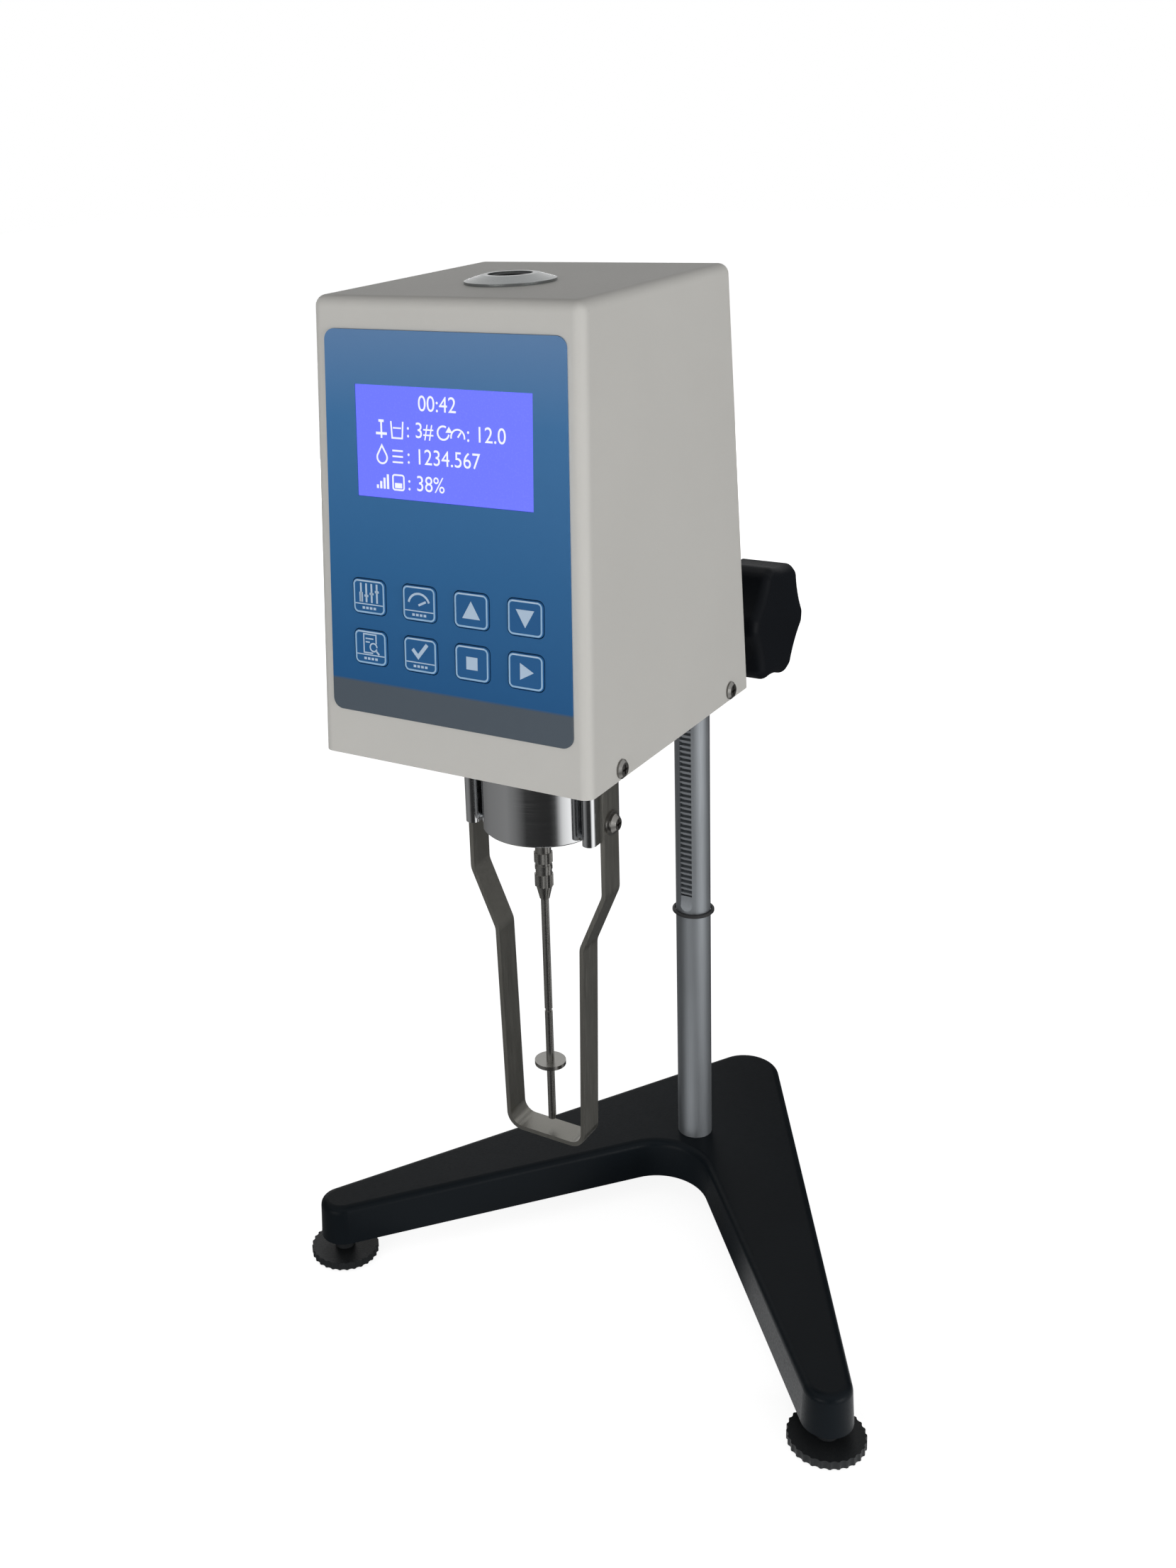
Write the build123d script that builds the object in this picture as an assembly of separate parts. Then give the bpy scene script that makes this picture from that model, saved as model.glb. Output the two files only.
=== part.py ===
"""Bench rotational viscometer on a rack-and-pinion stand.

Millimetres, +Z up, -Y is the front (display side), +X is the reader's right.
The model is built round the axis of the stand's column and is moved at the end,
so that the origin is the middle of its footprint, on the bench.
"""

import os
from math import acos, asin, cos, pi, radians, sin, tan

from build123d import *

os.makedirs("parts", exist_ok=True)

# ------------------------------------------------------------------ clearances
RUNNING_FIT = 0.08  # radial, shafts and studs that turn or slide
SEAT_GAP = 0.1  # between pieces that are screwed together on round faces
PRESS_GAP = 0.3  # a screw tip or button short of what it will press
HOLE_GAP = 0.3  # radial, screws and necks through sheet metal

# ------------------------------------------------------------------ stand base
FOOT_X = 117.9  # foot axes, either side of the middle
FOOT_Y = -130.9
REAR_FOOT_Y = 61.0
LEG_TIP_RADIUS = 10.5
REAR_RADIUS = 17.0
CROTCH_Y = -39.5  # centre of the fillet between the legs
CROTCH_RADIUS = 22.5
BASE_UNDERSIDE_Z = 11.3
BASE_HEIGHT = 18.4
BASE_DRAFT = 2.5  # degrees
BASE_EDGE_RADIUS = 3.4
BASE_WALL = 4.0
BASE_ROOF = 6.0
FOOT_BOSS_RADIUS = 8.6
COLUMN_BOSS_RADIUS = 15.0
COLUMN_BOSS_DROP = 3.5  # boss below the roof of the pocket

# ------------------------------------------------------------- levelling feet
PAD_RADIUS = 12.5
PAD_THICKNESS = 1.2
FOOT_DISC_RADIUS = 15.6
FOOT_DISC_THICKNESS = 3.6
FOOT_SCALLOPS = 28
SCALLOP_RADIUS = 2.0
SCALLOP_DEPTH = 0.6
FOOT_NECK_RADIUS = 4.7
FOOT_NECK_HEIGHT = 2.2
FOOT_STUD_RADIUS = 4.0
FOOT_STUD_TOP_Z = 21.5
FOOT_TRAVEL = 4.0  # each way

# ---------------------------------------------------------------- column, rack
COLUMN_RADIUS = 8.0
COLUMN_TOP_Z = 431.0
COLUMN_SEAT_DEPTH = 4.5
COLUMN_STUD_RADIUS = 5.0
COLUMN_STUD_END_Z = 12.0
COLUMN_CHAMFER = 1.0
COLUMN_NUT_AF = 16.0  # across flats
COLUMN_NUT_THICKNESS = 5.0
COLUMN_NUT_FLANGE_RADIUS = 10.5
COLUMN_NUT_FLANGE_THICKNESS = 1.6
RING_Z = 147.8
RING_WIRE = 1.6
RING_FLATS = 8
MODULE = 0.8
PRESSURE_ANGLE = 20.0
PINION_TEETH = 16
ADDENDUM = 0.72
DEDENDUM = 0.95
BACKLASH = 0.12
RACK_SLOT_WIDTH = 5.8
RACK_TIP_DEPTH = 1.1  # tooth tips below the front of the column
RACK_START_Z = 157.0
RUNOUT_RADIUS = 25.0  # of the milling cutter

# ----------------------------------------------------------------- lift clamp
LIFT_AXIS_RISE = 10.6
BARREL_RADIUS = 16.5
BARREL_BOTTOM_DROP = 23.2
BARREL_TOP_RISE = 44.8
BLOCK_HALF_WIDTH = 15.0
BLOCK_FRONT_Y = -36.0
BLOCK_BOTTOM_DROP = 13.2
BLOCK_EDGE_RADIUS = 3.0
LIFT_BOSS_RADIUS = 11.5
LIFT_BOSS_LEFT_X = -18.0
LIFT_BOSS_RIGHT_X = 20.0
LIFT_SHAFT_RADIUS = 4.0
LIFT_TAIL_RADIUS = 3.0
PINION_WIDTH = 5.0
BUSH_RADIUS = 8.2
BUSH_FLANGE_RADIUS = 10.5
BUSH_FLANGE_THICKNESS = 1.5
CLIP_RADIUS = 5.5
CLIP_THICKNESS = 0.8
CLIP_GROOVE_RADIUS = 2.3
KNOB_RADIUS = 26.0
KNOB_LOBES = 6
KNOB_SCOOP_RADIUS = 40.0
KNOB_SCOOP_DEPTH = 3.2
KNOB_REST_TURN = -9.0  # degrees, one lobe a little below level at the back
KNOB_FACE_X = 47.5
KNOB_THICKNESS = 23.0
KNOB_BLEND_RADIUS = 5.0  # at the ends of each lobe
KNOB_EDGE_RADIUS = 4.0
KNOB_BORE_DEPTH = 14.0
ROD_RADIUS = 6.0
ROD_RISE = 29.8
ROD_END_Y = -13.0
LOCK_STUD_RADIUS = 3.0
LOCK_KNOB_RADIUS = 11.0
LOCK_KNOB_LENGTH = 12.0
LOCK_KNOB_X = -24.0
LOCK_KNOB_LOBES = 5
LOCK_SCOOP_RADIUS = 6.0
LOCK_SCOOP_DEPTH = 2.0
LOCK_BLEND_RADIUS = 2.4
LOCK_EDGE_RADIUS = 1.3
TENSION_STUD_RADIUS = 4.0
TENSION_HEAD_RADIUS = 8.0
TENSION_HEAD_LENGTH = 9.0
TENSION_HEAD_Y = 20.0
TENSION_GRIPS = 20
TENSION_GRIP_CUT = 0.7

# ------------------------------------------------------------ head and chassis
HEAD_Z = 287.2  # lower edge of the cover
HEAD_HEIGHT = 167.2
HEAD_FRONT_Y = -197.6  # front lower edge
HEAD_REAR_Y = -65.0  # rear lower edge
HEAD_HALF_WIDTH = 56.25
HEAD_TOP_HALF_WIDTH = 53.85
FRONT_LEAN = 2.75  # degrees back, going up
REAR_LEAN = 4.0  # degrees forward, going up
COVER_WALL = 1.5
COVER_EDGE_RADIUS = 4.0
CHASSIS_THICKNESS = 6.0
CHASSIS_RISE = 1.0  # plate above the cover's lower edge
SCREW_FRONT_Y = -174.8
SCREW_REAR_Y = -84.0
COVER_SCREW_RADIUS = 1.95
COVER_SCREW_LENGTH = 8.0
COVER_SCREW_HEAD_RADIUS = 3.5
COVER_SCREW_HEAD = 1.5
BRACKET_WIDTH = 44.0
BRACKET_PLATE = 6.0
BRACKET_FOOT = 24.0
BRACKET_Y = -78.0  # front face of the upright
BRACKET_TOP_RISE = 48.8
ROD_THREAD_RADIUS = 5.0

# ------------------------------------------------- measuring axis and its cup
SPINDLE_Y = -135.2
CUP_RADIUS = 23.2
CUP_BOTTOM_DROP = 43.5
CUP_WALL = 2.2
CUP_FLOOR = 4.0
CUP_CHAMFER = 0.6
GUARD_BLOCK_THICKNESS = 5.4
GUARD_BLOCK_LENGTH = 24.0
GUARD_BLOCK_NOSE = 2.6
GUARD_WIDTH = 11.6
GUARD_THICKNESS = 1.8
GUARD_TOP_GAP = 1.7  # between the guard and the chassis plate
GUARD_SHOULDER_DROP = 66.2
GUARD_WAIST_DROP = 90.7
GUARD_WAIST_HALF = 19.2  # strip centre from the axis, below the shoulder
GUARD_FOOT_HALF = 17.2
GUARD_BOTTOM_DROP = 181.2
GUARD_SHOULDER_RADIUS = 7.0
GUARD_FOOT_RADIUS = 6.0
GUARD_SCREW_DROP = 36.9
GUARD_SCREW_RADIUS = 2.0
GUARD_SCREW_LENGTH = 6.0
GUARD_SCREW_HEAD_RADIUS = 3.9
GUARD_SCREW_HEAD = 2.4
WASHER_RADIUS = 5.0
WASHER_THICKNESS = 0.8
CROWN_SHARE = 0.6  # of a screw head's height that is coned
CROSS_WIDTH = 0.9
CROSS_DEPTH = 1.0

# -------------------------------------------------------- spindle and coupling
PIVOT_RADIUS = 2.0
PIVOT_TOP_RISE = 61.8
BEARING_RADIUS = 6.0
BEARING_WIDTH = 4.0
NUT_COLLAR_RADIUS = 3.18
NUT_COLLAR_TOP_DROP = 46.7
NUT_KNURL_TOP_DROP = 55.2
NUT_KNURL_BOTTOM_DROP = 59.5
KNURL_RADIUS = 3.75
KNURL_RIDGES = 16
KNURL_CUT = 0.4
NUT_NECK_RADIUS = 3.2
HUB_TOP_DROP = 60.6
HUB_RING_RADIUS = 3.5
HUB_RING_BOTTOM_DROP = 62.3
HUB_NECK_RADIUS = 3.25
HUB_KNURL_TOP_DROP = 64.5
HUB_KNURL_BOTTOM_DROP = 69.7
HUB_TAPER_END_DROP = 75.2
SPINDLE_RADIUS = 1.5875
SPINDLE_TIP_DROP = 174.8
SPINDLE_SOCKET = 6.0  # length of the shaft inside the hub
GROOVE_ABOVE_TIP = 50.0
GROOVE_WIDTH = 1.2
GROOVE_DEPTH = 0.4
DISC_ABOVE_TIP = 25.4
DISC_RADIUS = 6.35
DISC_THICKNESS = 1.65

# ------------------------------------------------------- drive inside the head
MOTOR_SIDE = 42.0
MOTOR_LENGTH = 36.0
MOTOR_CORNER = 4.0
MOTOR_PLATE_RISE = 84.8
MOTOR_PLATE_THICKNESS = 4.0
MOTOR_PLATE_LENGTH = 84.0
MOTOR_PLATE_DEPTH = 60.0
PILLAR_RADIUS = 4.0
PILLAR_X = 36.0
PILLAR_Y = 24.0
MOTOR_BOSS_RADIUS = 11.0
MOTOR_BOSS_HEIGHT = 2.0
MOTOR_SHAFT_RADIUS = 2.5
MOTOR_SHAFT_TOP_RISE = 112.8
UPPER_DISC_RISE = 66.8
LOWER_DISC_RISE = 52.8
ENCODER_RADIUS = 22.0
ENCODER_THICKNESS = 1.2
ENCODER_SLOT_WIDTH = 2.0
ENCODER_SLOT_DEPTH = 7.0
ENCODER_HUB_RADIUS = 5.0
ENCODER_HUB_HEIGHT = 5.0
SPRING_RISE = 59.6
SPRING_HEIGHT = 1.5
SPRING_THICKNESS = 0.4
SPRING_INNER_RADIUS = 4.0
SPRING_OUTER_RADIUS = 13.0
SPRING_TURNS = 3
SPRING_STEPS = 20  # chords in one turn
SPRING_POST_RADIUS = 0.9
SENSOR_X = 26.0
SENSOR_POST = 8.0
SENSOR_DEPTH = 12.0
SENSOR_JAW = 2.5
SENSOR_GAP = 3.2

# ------------------------------------------------------- front panel, display
PANEL_BOTTOM = 17.7  # up the front face from its lower edge
PANEL_HEIGHT = 138.5
PANEL_SIDE_MARGIN = 5.9
PANEL_THICKNESS = 0.8
PANEL_CORNER_RADIUS = 4.0
DISPLAY_WIDTH = 71.4
DISPLAY_HEIGHT = 39.4
DISPLAY_DROP = 38.5  # its middle below the panel's top edge
DISPLAY_MARGIN = 3.0
WINDOW_THICKNESS = 0.9
WINDOW_RECESS = 0.15
MODULE_WIDTH = 92.0
MODULE_HEIGHT = 60.0
MODULE_BEZEL = 5.5
MODULE_BOARD = 1.6
BOARD_STANDOFF_RADIUS = 2.5
KEY_WIDTH = 14.0
KEY_HEIGHT = 12.8
KEY_CORNER_RADIUS = 2.2
KEY_GAP = 0.3
KEY_PROUD = 0.5
KEY_DEPTH = 3.3
KEY_TRAVEL = 0.4
KEY_SPACING = 21.5
KEY_COLUMNS = 4
KEY_ROW_UPPER = 61.6  # up the front face
KEY_ROW_LOWER = 42.8
KEY_NAMES = (
    ("key_rotor", "key_speed", "key_up", "key_down"),
    ("key_search", "key_ok", "key_stop", "key_start"),
)
KEY_CHAMFER = 0.35
SWITCH_SIDE = 6.0
SWITCH_BODY = 2.0
PLUNGER_SIDE = 3.0
SWITCH_HEIGHT = 3.4
KEY_BOARD_WIDTH = 88.0
KEY_BOARD_HEIGHT = 40.0
KEY_BOARD_THICKNESS = 1.6

# -------------------------------------------------------------- level, sockets
LEVEL_Y = -144.0
LEVEL_RADIUS = 16.5
LEVEL_RIM_HEIGHT = 1.0
LEVEL_HEIGHT = 3.0
LEVEL_TOP_RADIUS = 10.0
LEVEL_BORE_RADIUS = 8.0
LEVEL_SEAL_BORE = 5.6
LEVEL_SEAL_DROP = 0.7
LEVEL_SPIGOT_RADIUS = 9.2
LEVEL_SPIGOT_DEPTH = 4.0
VIAL_DEPTH = 7.0
SWITCH_X = -32.0
POWER_HEIGHT = 34.0  # up the rear face
SWITCH_WIDTH = 21.0
SWITCH_TALL = 15.0
SWITCH_RIM = 1.6
SWITCH_FRAME_WALL = 1.8
SWITCH_CAN_DEPTH = 16.0
ROCKER_SWING = 16.0  # degrees between off and on
ROCKER_DROP = -2.0  # pin below the outer face of the wall
ROCKER_DISH = 1.2
ROCKER_DISH_RADIUS = 12.0
JACK_X = 32.0
JACK_RADIUS = 5.5
JACK_BORE_RADIUS = 3.2
JACK_PIN_RADIUS = 1.0
JACK_DEPTH = 14.0
JACK_NUT_AF = 14.0
JACK_NUT_THICKNESS = 2.5
CONTROL_BOARD_X = -49.0
CONTROL_BOARD_LENGTH = 92.0
CONTROL_BOARD_HEIGHT = 96.0
CONTROL_BOARD_THICKNESS = 1.6
TRANSFORMER_SIZE = (7.0, 34.0, 28.0)
CAPACITOR_RADIUS = 3.0
CAPACITOR_HEIGHT = 5.0
CAPACITOR_DROP = 12.0  # below the board's top edge
CAPACITOR_YS = (8.0, 20.0)

# ----------------------------------------------------------------- derived
BASE_TOP_Z = BASE_UNDERSIDE_Z + BASE_HEIGHT
HEAD_TOP_Z = HEAD_Z + HEAD_HEIGHT
DISPLAY_CENTRE = PANEL_BOTTOM + PANEL_HEIGHT - DISPLAY_DROP  # up the front face
# heights of what the head carries, each from the lower edge of the cover
CHASSIS_BOTTOM_Z = HEAD_Z + CHASSIS_RISE
LIFT_AXIS_Z = HEAD_Z + LIFT_AXIS_RISE
BARREL_BOTTOM_Z = HEAD_Z - BARREL_BOTTOM_DROP
BARREL_TOP_Z = HEAD_Z + BARREL_TOP_RISE
BLOCK_BOTTOM_Z = HEAD_Z - BLOCK_BOTTOM_DROP
ROD_Z = HEAD_Z + ROD_RISE
BRACKET_TOP_Z = HEAD_Z + BRACKET_TOP_RISE
CUP_BOTTOM_Z = HEAD_Z - CUP_BOTTOM_DROP
GUARD_SHOULDER_Z = HEAD_Z - GUARD_SHOULDER_DROP
GUARD_WAIST_Z = HEAD_Z - GUARD_WAIST_DROP
GUARD_BOTTOM_Z = HEAD_Z - GUARD_BOTTOM_DROP
GUARD_SCREW_Z = HEAD_Z - GUARD_SCREW_DROP
PIVOT_TOP_Z = HEAD_Z + PIVOT_TOP_RISE
NUT_COLLAR_TOP_Z = HEAD_Z - NUT_COLLAR_TOP_DROP
NUT_KNURL_TOP_Z = HEAD_Z - NUT_KNURL_TOP_DROP
NUT_KNURL_BOTTOM_Z = HEAD_Z - NUT_KNURL_BOTTOM_DROP
HUB_TOP_Z = HEAD_Z - HUB_TOP_DROP
HUB_RING_BOTTOM_Z = HEAD_Z - HUB_RING_BOTTOM_DROP
HUB_KNURL_TOP_Z = HEAD_Z - HUB_KNURL_TOP_DROP
HUB_KNURL_BOTTOM_Z = HEAD_Z - HUB_KNURL_BOTTOM_DROP
HUB_TAPER_END_Z = HEAD_Z - HUB_TAPER_END_DROP
SPINDLE_TIP_Z = HEAD_Z - SPINDLE_TIP_DROP
MOTOR_PLATE_Z = HEAD_Z + MOTOR_PLATE_RISE
MOTOR_SHAFT_TOP_Z = HEAD_Z + MOTOR_SHAFT_TOP_RISE
UPPER_DISC_Z = HEAD_Z + UPPER_DISC_RISE
LOWER_DISC_Z = HEAD_Z + LOWER_DISC_RISE
SPRING_Z = HEAD_Z + SPRING_RISE
CHASSIS_TOP_Z = CHASSIS_BOTTOM_Z + CHASSIS_THICKNESS
PITCH = pi * MODULE
PITCH_RADIUS = MODULE * PINION_TEETH / 2
RACK_TIP_Y = -COLUMN_RADIUS + RACK_TIP_DEPTH
RACK_PITCH_Y = RACK_TIP_Y + ADDENDUM
LIFT_AXIS_Y = RACK_PITCH_Y - PITCH_RADIUS
GUARD_BLOCK_X = CUP_RADIUS + SEAT_GAP  # inner face of each guard block
GUARD_STRIP_X = GUARD_BLOCK_X + GUARD_BLOCK_THICKNESS  # inner face of the strip
FRONT = Plane(
    origin=(0, HEAD_FRONT_Y, HEAD_Z),
    x_dir=(1, 0, 0),
    z_dir=(0, -cos(radians(FRONT_LEAN)), sin(radians(FRONT_LEAN))),
)
REAR = Plane(
    origin=(0, HEAD_REAR_Y, HEAD_Z),
    x_dir=(-1, 0, 0),
    z_dir=(0, cos(radians(REAR_LEAN)), sin(radians(REAR_LEAN))),
)
UP = (0, 0, 1)
UPWARD = (Align.CENTER, Align.CENTER, Align.MIN)

at_lift_axis = Pos(0, LIFT_AXIS_Y, LIFT_AXIS_Z)
at_spindle = Pos(0, SPINDLE_Y, 0)

pieces = {}


# ------------------------------------------------------------------- helpers
def rod_z(radius, bottom, top):
    """Upright cylinder on the Z axis between two heights."""
    return Pos(0, 0, bottom) * Cylinder(radius, top - bottom, align=UPWARD)


def rod_x(radius, left, right):
    """Cylinder along X between two places."""
    return Pos(left, 0, 0) * Rot(0, 90, 0) * Cylinder(radius, right - left, align=UPWARD)


def rod_y(radius, front, rear):
    """Cylinder along Y between two places."""
    return Pos(0, front, 0) * Rot(-90, 0, 0) * Cylinder(radius, rear - front, align=UPWARD)


def block(x_range, y_range, z_range):
    """Box between pairs of limits."""
    size = [high - low for low, high in (x_range, y_range, z_range)]
    low_corner = (x_range[0], y_range[0], z_range[0])
    return Pos(low_corner) * Box(*size, align=(Align.MIN, Align.MIN, Align.MIN))


def turned(*profile):
    """Solid of revolution about Z from (radius, height) points."""
    outline = make_face(Plane.XZ * Polyline(*profile, close=True))
    return revolve(outline, Axis.Z)


def lobed_outline(radius, lobes, scoop_radius, scoop_depth, phase=0):
    """Round grip's plan, with shallow scoops between its lobes."""
    scoop_centre = radius + scoop_radius - scoop_depth
    half_step = 180 / lobes
    scoops = PolarLocations(scoop_centre, lobes, start_angle=phase + half_step)
    return Circle(radius) - scoops * Circle(scoop_radius)


def lobed_grip(outline, length, blend, edge_radius):
    """Moulded knob on a lobed plan, its cusps blended and its face edge rounded."""
    outline = fillet(outline.vertices(), blend)
    grip = extrude(outline, length)
    return fillet(grip.faces().sort_by(Axis.Z)[-1].edges(), edge_radius)


def cross_recess(depth):
    """Cutter for a cross-slotted screw head whose top is at Z = 0."""
    bar = Box(4 * CROSS_WIDTH, CROSS_WIDTH, 2 * depth)
    return bar + Rot(0, 0, 90) * bar


def pan_screw(head_radius, head_height, shank_radius, length):
    """Cross-slotted screw with a coned head, seated at Z = 0, its shank below."""
    crown = head_height * CROWN_SHARE
    screw = turned(
        (0, -length),
        (shank_radius, -length),
        (shank_radius, 0),
        (head_radius, 0),
        (head_radius, head_height - crown),
        (head_radius - crown, head_height),
        (0, head_height),
    )
    return screw - Pos(0, 0, head_height) * cross_recess(CROSS_DEPTH)


def knurled(radius, height, ridges, cut_depth):
    """Straight-knurled cylinder of V grooves, standing on Z = 0."""
    points = []
    for step in range(2 * ridges):
        angle = pi * step / ridges
        reach = radius - cut_depth * (step % 2)
        points.append((reach * cos(angle), reach * sin(angle)))
    return extrude(make_face(Polyline(*points, close=True)), height, dir=UP)


def as_group(*solids):
    """Several separate solids that make one node."""
    return Compound(children=[solid for solid in solids])


# ---------------------------------------------------------------- stand base
def tangent_normal(start, end, offset_sum):
    """Unit normal, on the left, of a line that touches two circles.

    offset_sum is r1 - r2 for an outer tangent and r1 + r2 for a crossing one.
    """
    run = Vector(end) - Vector(start)
    along = run.normalized()
    across = Vector(-along.Y, along.X)
    slip = asin(offset_sum / run.length)
    return across * cos(slip) + along * sin(slip)


def base_outline():
    """Plan of the V-shaped casting: round rear, round toes, filleted crotch."""
    rear = Vector(0, REAR_FOOT_Y)
    toe = Vector(FOOT_X, FOOT_Y)
    crotch = Vector(0, CROTCH_Y)
    outer = tangent_normal(rear, toe, REAR_RADIUS - LEG_TIP_RADIUS)
    inner = tangent_normal(crotch, toe, CROTCH_RADIUS + LEG_TIP_RADIUS)
    across = outer + inner
    toe_out = toe + outer * LEG_TIP_RADIUS
    toe_end = toe + Vector(across.Y, -across.X).normalized() * LEG_TIP_RADIUS
    toe_in = toe - inner * LEG_TIP_RADIUS
    rear_side = rear + outer * REAR_RADIUS
    rear_end = rear + Vector(0, REAR_RADIUS)
    crotch_side = crotch + inner * CROTCH_RADIUS
    crotch_end = crotch + Vector(0, CROTCH_RADIUS)

    def flip(point):
        return Vector(-point.X, point.Y)

    right = [Line(rear_side, toe_out), ThreePointArc(toe_out, toe_end, toe_in), Line(toe_in, crotch_side)]
    left = [edge.mirror(Plane.YZ) for edge in right]
    rear_arc = ThreePointArc(flip(rear_side), rear_end, rear_side)
    crotch_arc = ThreePointArc(crotch_side, crotch_end, flip(crotch_side))
    outline = make_face([rear_arc, *right, crotch_arc, *left]).face()
    return outline if outline.normal_at().Z > 0 else -outline


def foot_places():
    """Axes of the two front feet and the rear one."""
    return {"left": (-FOOT_X, FOOT_Y), "right": (FOOT_X, FOOT_Y), "rear": (0, REAR_FOOT_Y)}


def make_base():
    """Drafted casting, hollow below, with bosses for the feet and the column."""
    outline = base_outline()
    body = extrude(outline, BASE_HEIGHT, taper=BASE_DRAFT)  # hangs below the outline
    body = Pos(0, 0, BASE_UNDERSIDE_Z) * Rot(0, 180, 0) * body
    body = fillet(body.faces().sort_by(Axis.Z)[-1].edges(), BASE_EDGE_RADIUS)
    roof_z = BASE_TOP_Z - BASE_ROOF
    pocket = extrude(offset(outline, -BASE_WALL), roof_z - BASE_UNDERSIDE_Z)
    pocket = Pos(0, 0, BASE_UNDERSIDE_Z) * pocket
    for x, y in foot_places().values():
        pocket -= Pos(x, y) * rod_z(FOOT_BOSS_RADIUS, BASE_UNDERSIDE_Z, roof_z)
    pocket -= rod_z(COLUMN_BOSS_RADIUS, roof_z - COLUMN_BOSS_DROP, roof_z)
    body -= pocket
    for x, y in foot_places().values():
        stud_radius = FOOT_STUD_RADIUS + RUNNING_FIT
        body -= Pos(x, y) * rod_z(stud_radius, BASE_UNDERSIDE_Z, foot_hole_top())
    body -= rod_z(COLUMN_RADIUS + SEAT_GAP, BASE_TOP_Z - COLUMN_SEAT_DEPTH, BASE_TOP_Z)
    body -= rod_z(COLUMN_STUD_RADIUS + SEAT_GAP, BASE_UNDERSIDE_Z, BASE_TOP_Z)
    return body


def foot_hole_top():
    """Blind end of a foot's tapped hole, past the stud when it is screwed in."""
    return FOOT_STUD_TOP_Z + FOOT_TRAVEL + PRESS_GAP


def make_foot():
    """Scalloped disc with its neck and stud, on the Z axis."""
    outline = lobed_outline(FOOT_DISC_RADIUS, FOOT_SCALLOPS, SCALLOP_RADIUS, SCALLOP_DEPTH)
    disc = Pos(0, 0, PAD_THICKNESS) * extrude(outline, FOOT_DISC_THICKNESS)
    neck_z = PAD_THICKNESS + FOOT_DISC_THICKNESS
    neck = rod_z(FOOT_NECK_RADIUS, neck_z, neck_z + FOOT_NECK_HEIGHT)
    stud = rod_z(FOOT_STUD_RADIUS, neck_z, FOOT_STUD_TOP_Z)
    return disc + neck + stud


def make_feet():
    """Three adjustable feet, each a disc on a stud over a soft pad."""
    foot = make_foot()
    pad = Cylinder(PAD_RADIUS, PAD_THICKNESS, align=UPWARD)
    for place, (x, y) in foot_places().items():
        pieces[f"foot_{place}"] = Pos(x, y) * foot
        pieces[f"foot_pad_{place}"] = Pos(x, y) * pad


pieces["base_casting"] = make_base()
make_feet()


# -------------------------------------------------------------- rack, column
def rack_cutter():
    """Milled slot and tooth spaces, as one comb drawn in the YZ plane."""
    slope = tan(radians(PRESSURE_ANGLE))
    tip_half = PITCH / 4 + ADDENDUM * slope
    root_half = PITCH / 4 - DEDENDUM * slope
    root_y = RACK_PITCH_Y + DEDENDUM
    first = -int((LIFT_AXIS_Z - RACK_START_Z) / PITCH)
    last = int((COLUMN_TOP_Z - LIFT_AXIS_Z) / PITCH) - 1
    front_y = -COLUMN_RADIUS - 1
    comb = [(front_y, RACK_START_Z), (RACK_TIP_Y, RACK_START_Z)]
    for index in range(first, last + 1):
        z = LIFT_AXIS_Z + index * PITCH
        comb += [(RACK_TIP_Y, z - tip_half), (root_y, z - root_half)]
        comb += [(root_y, z + root_half), (RACK_TIP_Y, z + tip_half)]
    comb += [(RACK_TIP_Y, COLUMN_TOP_Z + 1), (front_y, COLUMN_TOP_Z + 1)]
    face = make_face(Plane.YZ * Polyline(*comb, close=True))
    teeth = extrude(face, RACK_SLOT_WIDTH / 2, both=True)
    runout = Pos(0, RACK_TIP_Y - RUNOUT_RADIUS, RACK_START_Z) * rod_x(
        RUNOUT_RADIUS, -RACK_SLOT_WIDTH / 2, RACK_SLOT_WIDTH / 2
    )
    below = block((-COLUMN_RADIUS, COLUMN_RADIUS), (-3 * RUNOUT_RADIUS, 0), (BASE_TOP_Z, RACK_START_Z))
    return teeth + (runout & below)


def make_column():
    """Bright steel column with a rack down its front and a stud below."""
    seat_z = BASE_TOP_Z - COLUMN_SEAT_DEPTH
    column = rod_z(COLUMN_RADIUS, seat_z, COLUMN_TOP_Z)
    column = chamfer(column.edges().sort_by(Axis.Z)[-1], COLUMN_CHAMFER)
    column += rod_z(COLUMN_STUD_RADIUS, COLUMN_STUD_END_Z, seat_z)
    return column - rack_cutter()


def make_column_nut():
    """Flanged hexagon nut that draws the column down from below."""
    top = BASE_TOP_Z - BASE_ROOF - COLUMN_BOSS_DROP
    flange = rod_z(COLUMN_NUT_FLANGE_RADIUS, top - COLUMN_NUT_FLANGE_THICKNESS, top)
    hexagon = RegularPolygon(COLUMN_NUT_AF / 2, 6, major_radius=False)
    nut_z = top - COLUMN_NUT_FLANGE_THICKNESS - COLUMN_NUT_THICKNESS
    nut = Pos(0, 0, nut_z) * extrude(hexagon, COLUMN_NUT_THICKNESS)
    return flange + nut - rod_z(COLUMN_STUD_RADIUS + SEAT_GAP, 0, top)


def make_stop_ring():
    """Rubber ring round the column, its round section drawn with flats."""
    half = RING_WIRE / 2
    middle = COLUMN_RADIUS + SEAT_GAP + half
    angles = [pi * (2 * step + 1) / RING_FLATS for step in range(RING_FLATS)]
    reach = half / cos(pi / RING_FLATS)
    section = [(middle + reach * cos(angle), RING_Z + reach * sin(angle)) for angle in angles]
    return turned(*section)


pieces["column"] = make_column()
pieces["column_nut"] = make_column_nut()
pieces["stop_ring"] = make_stop_ring()


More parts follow.
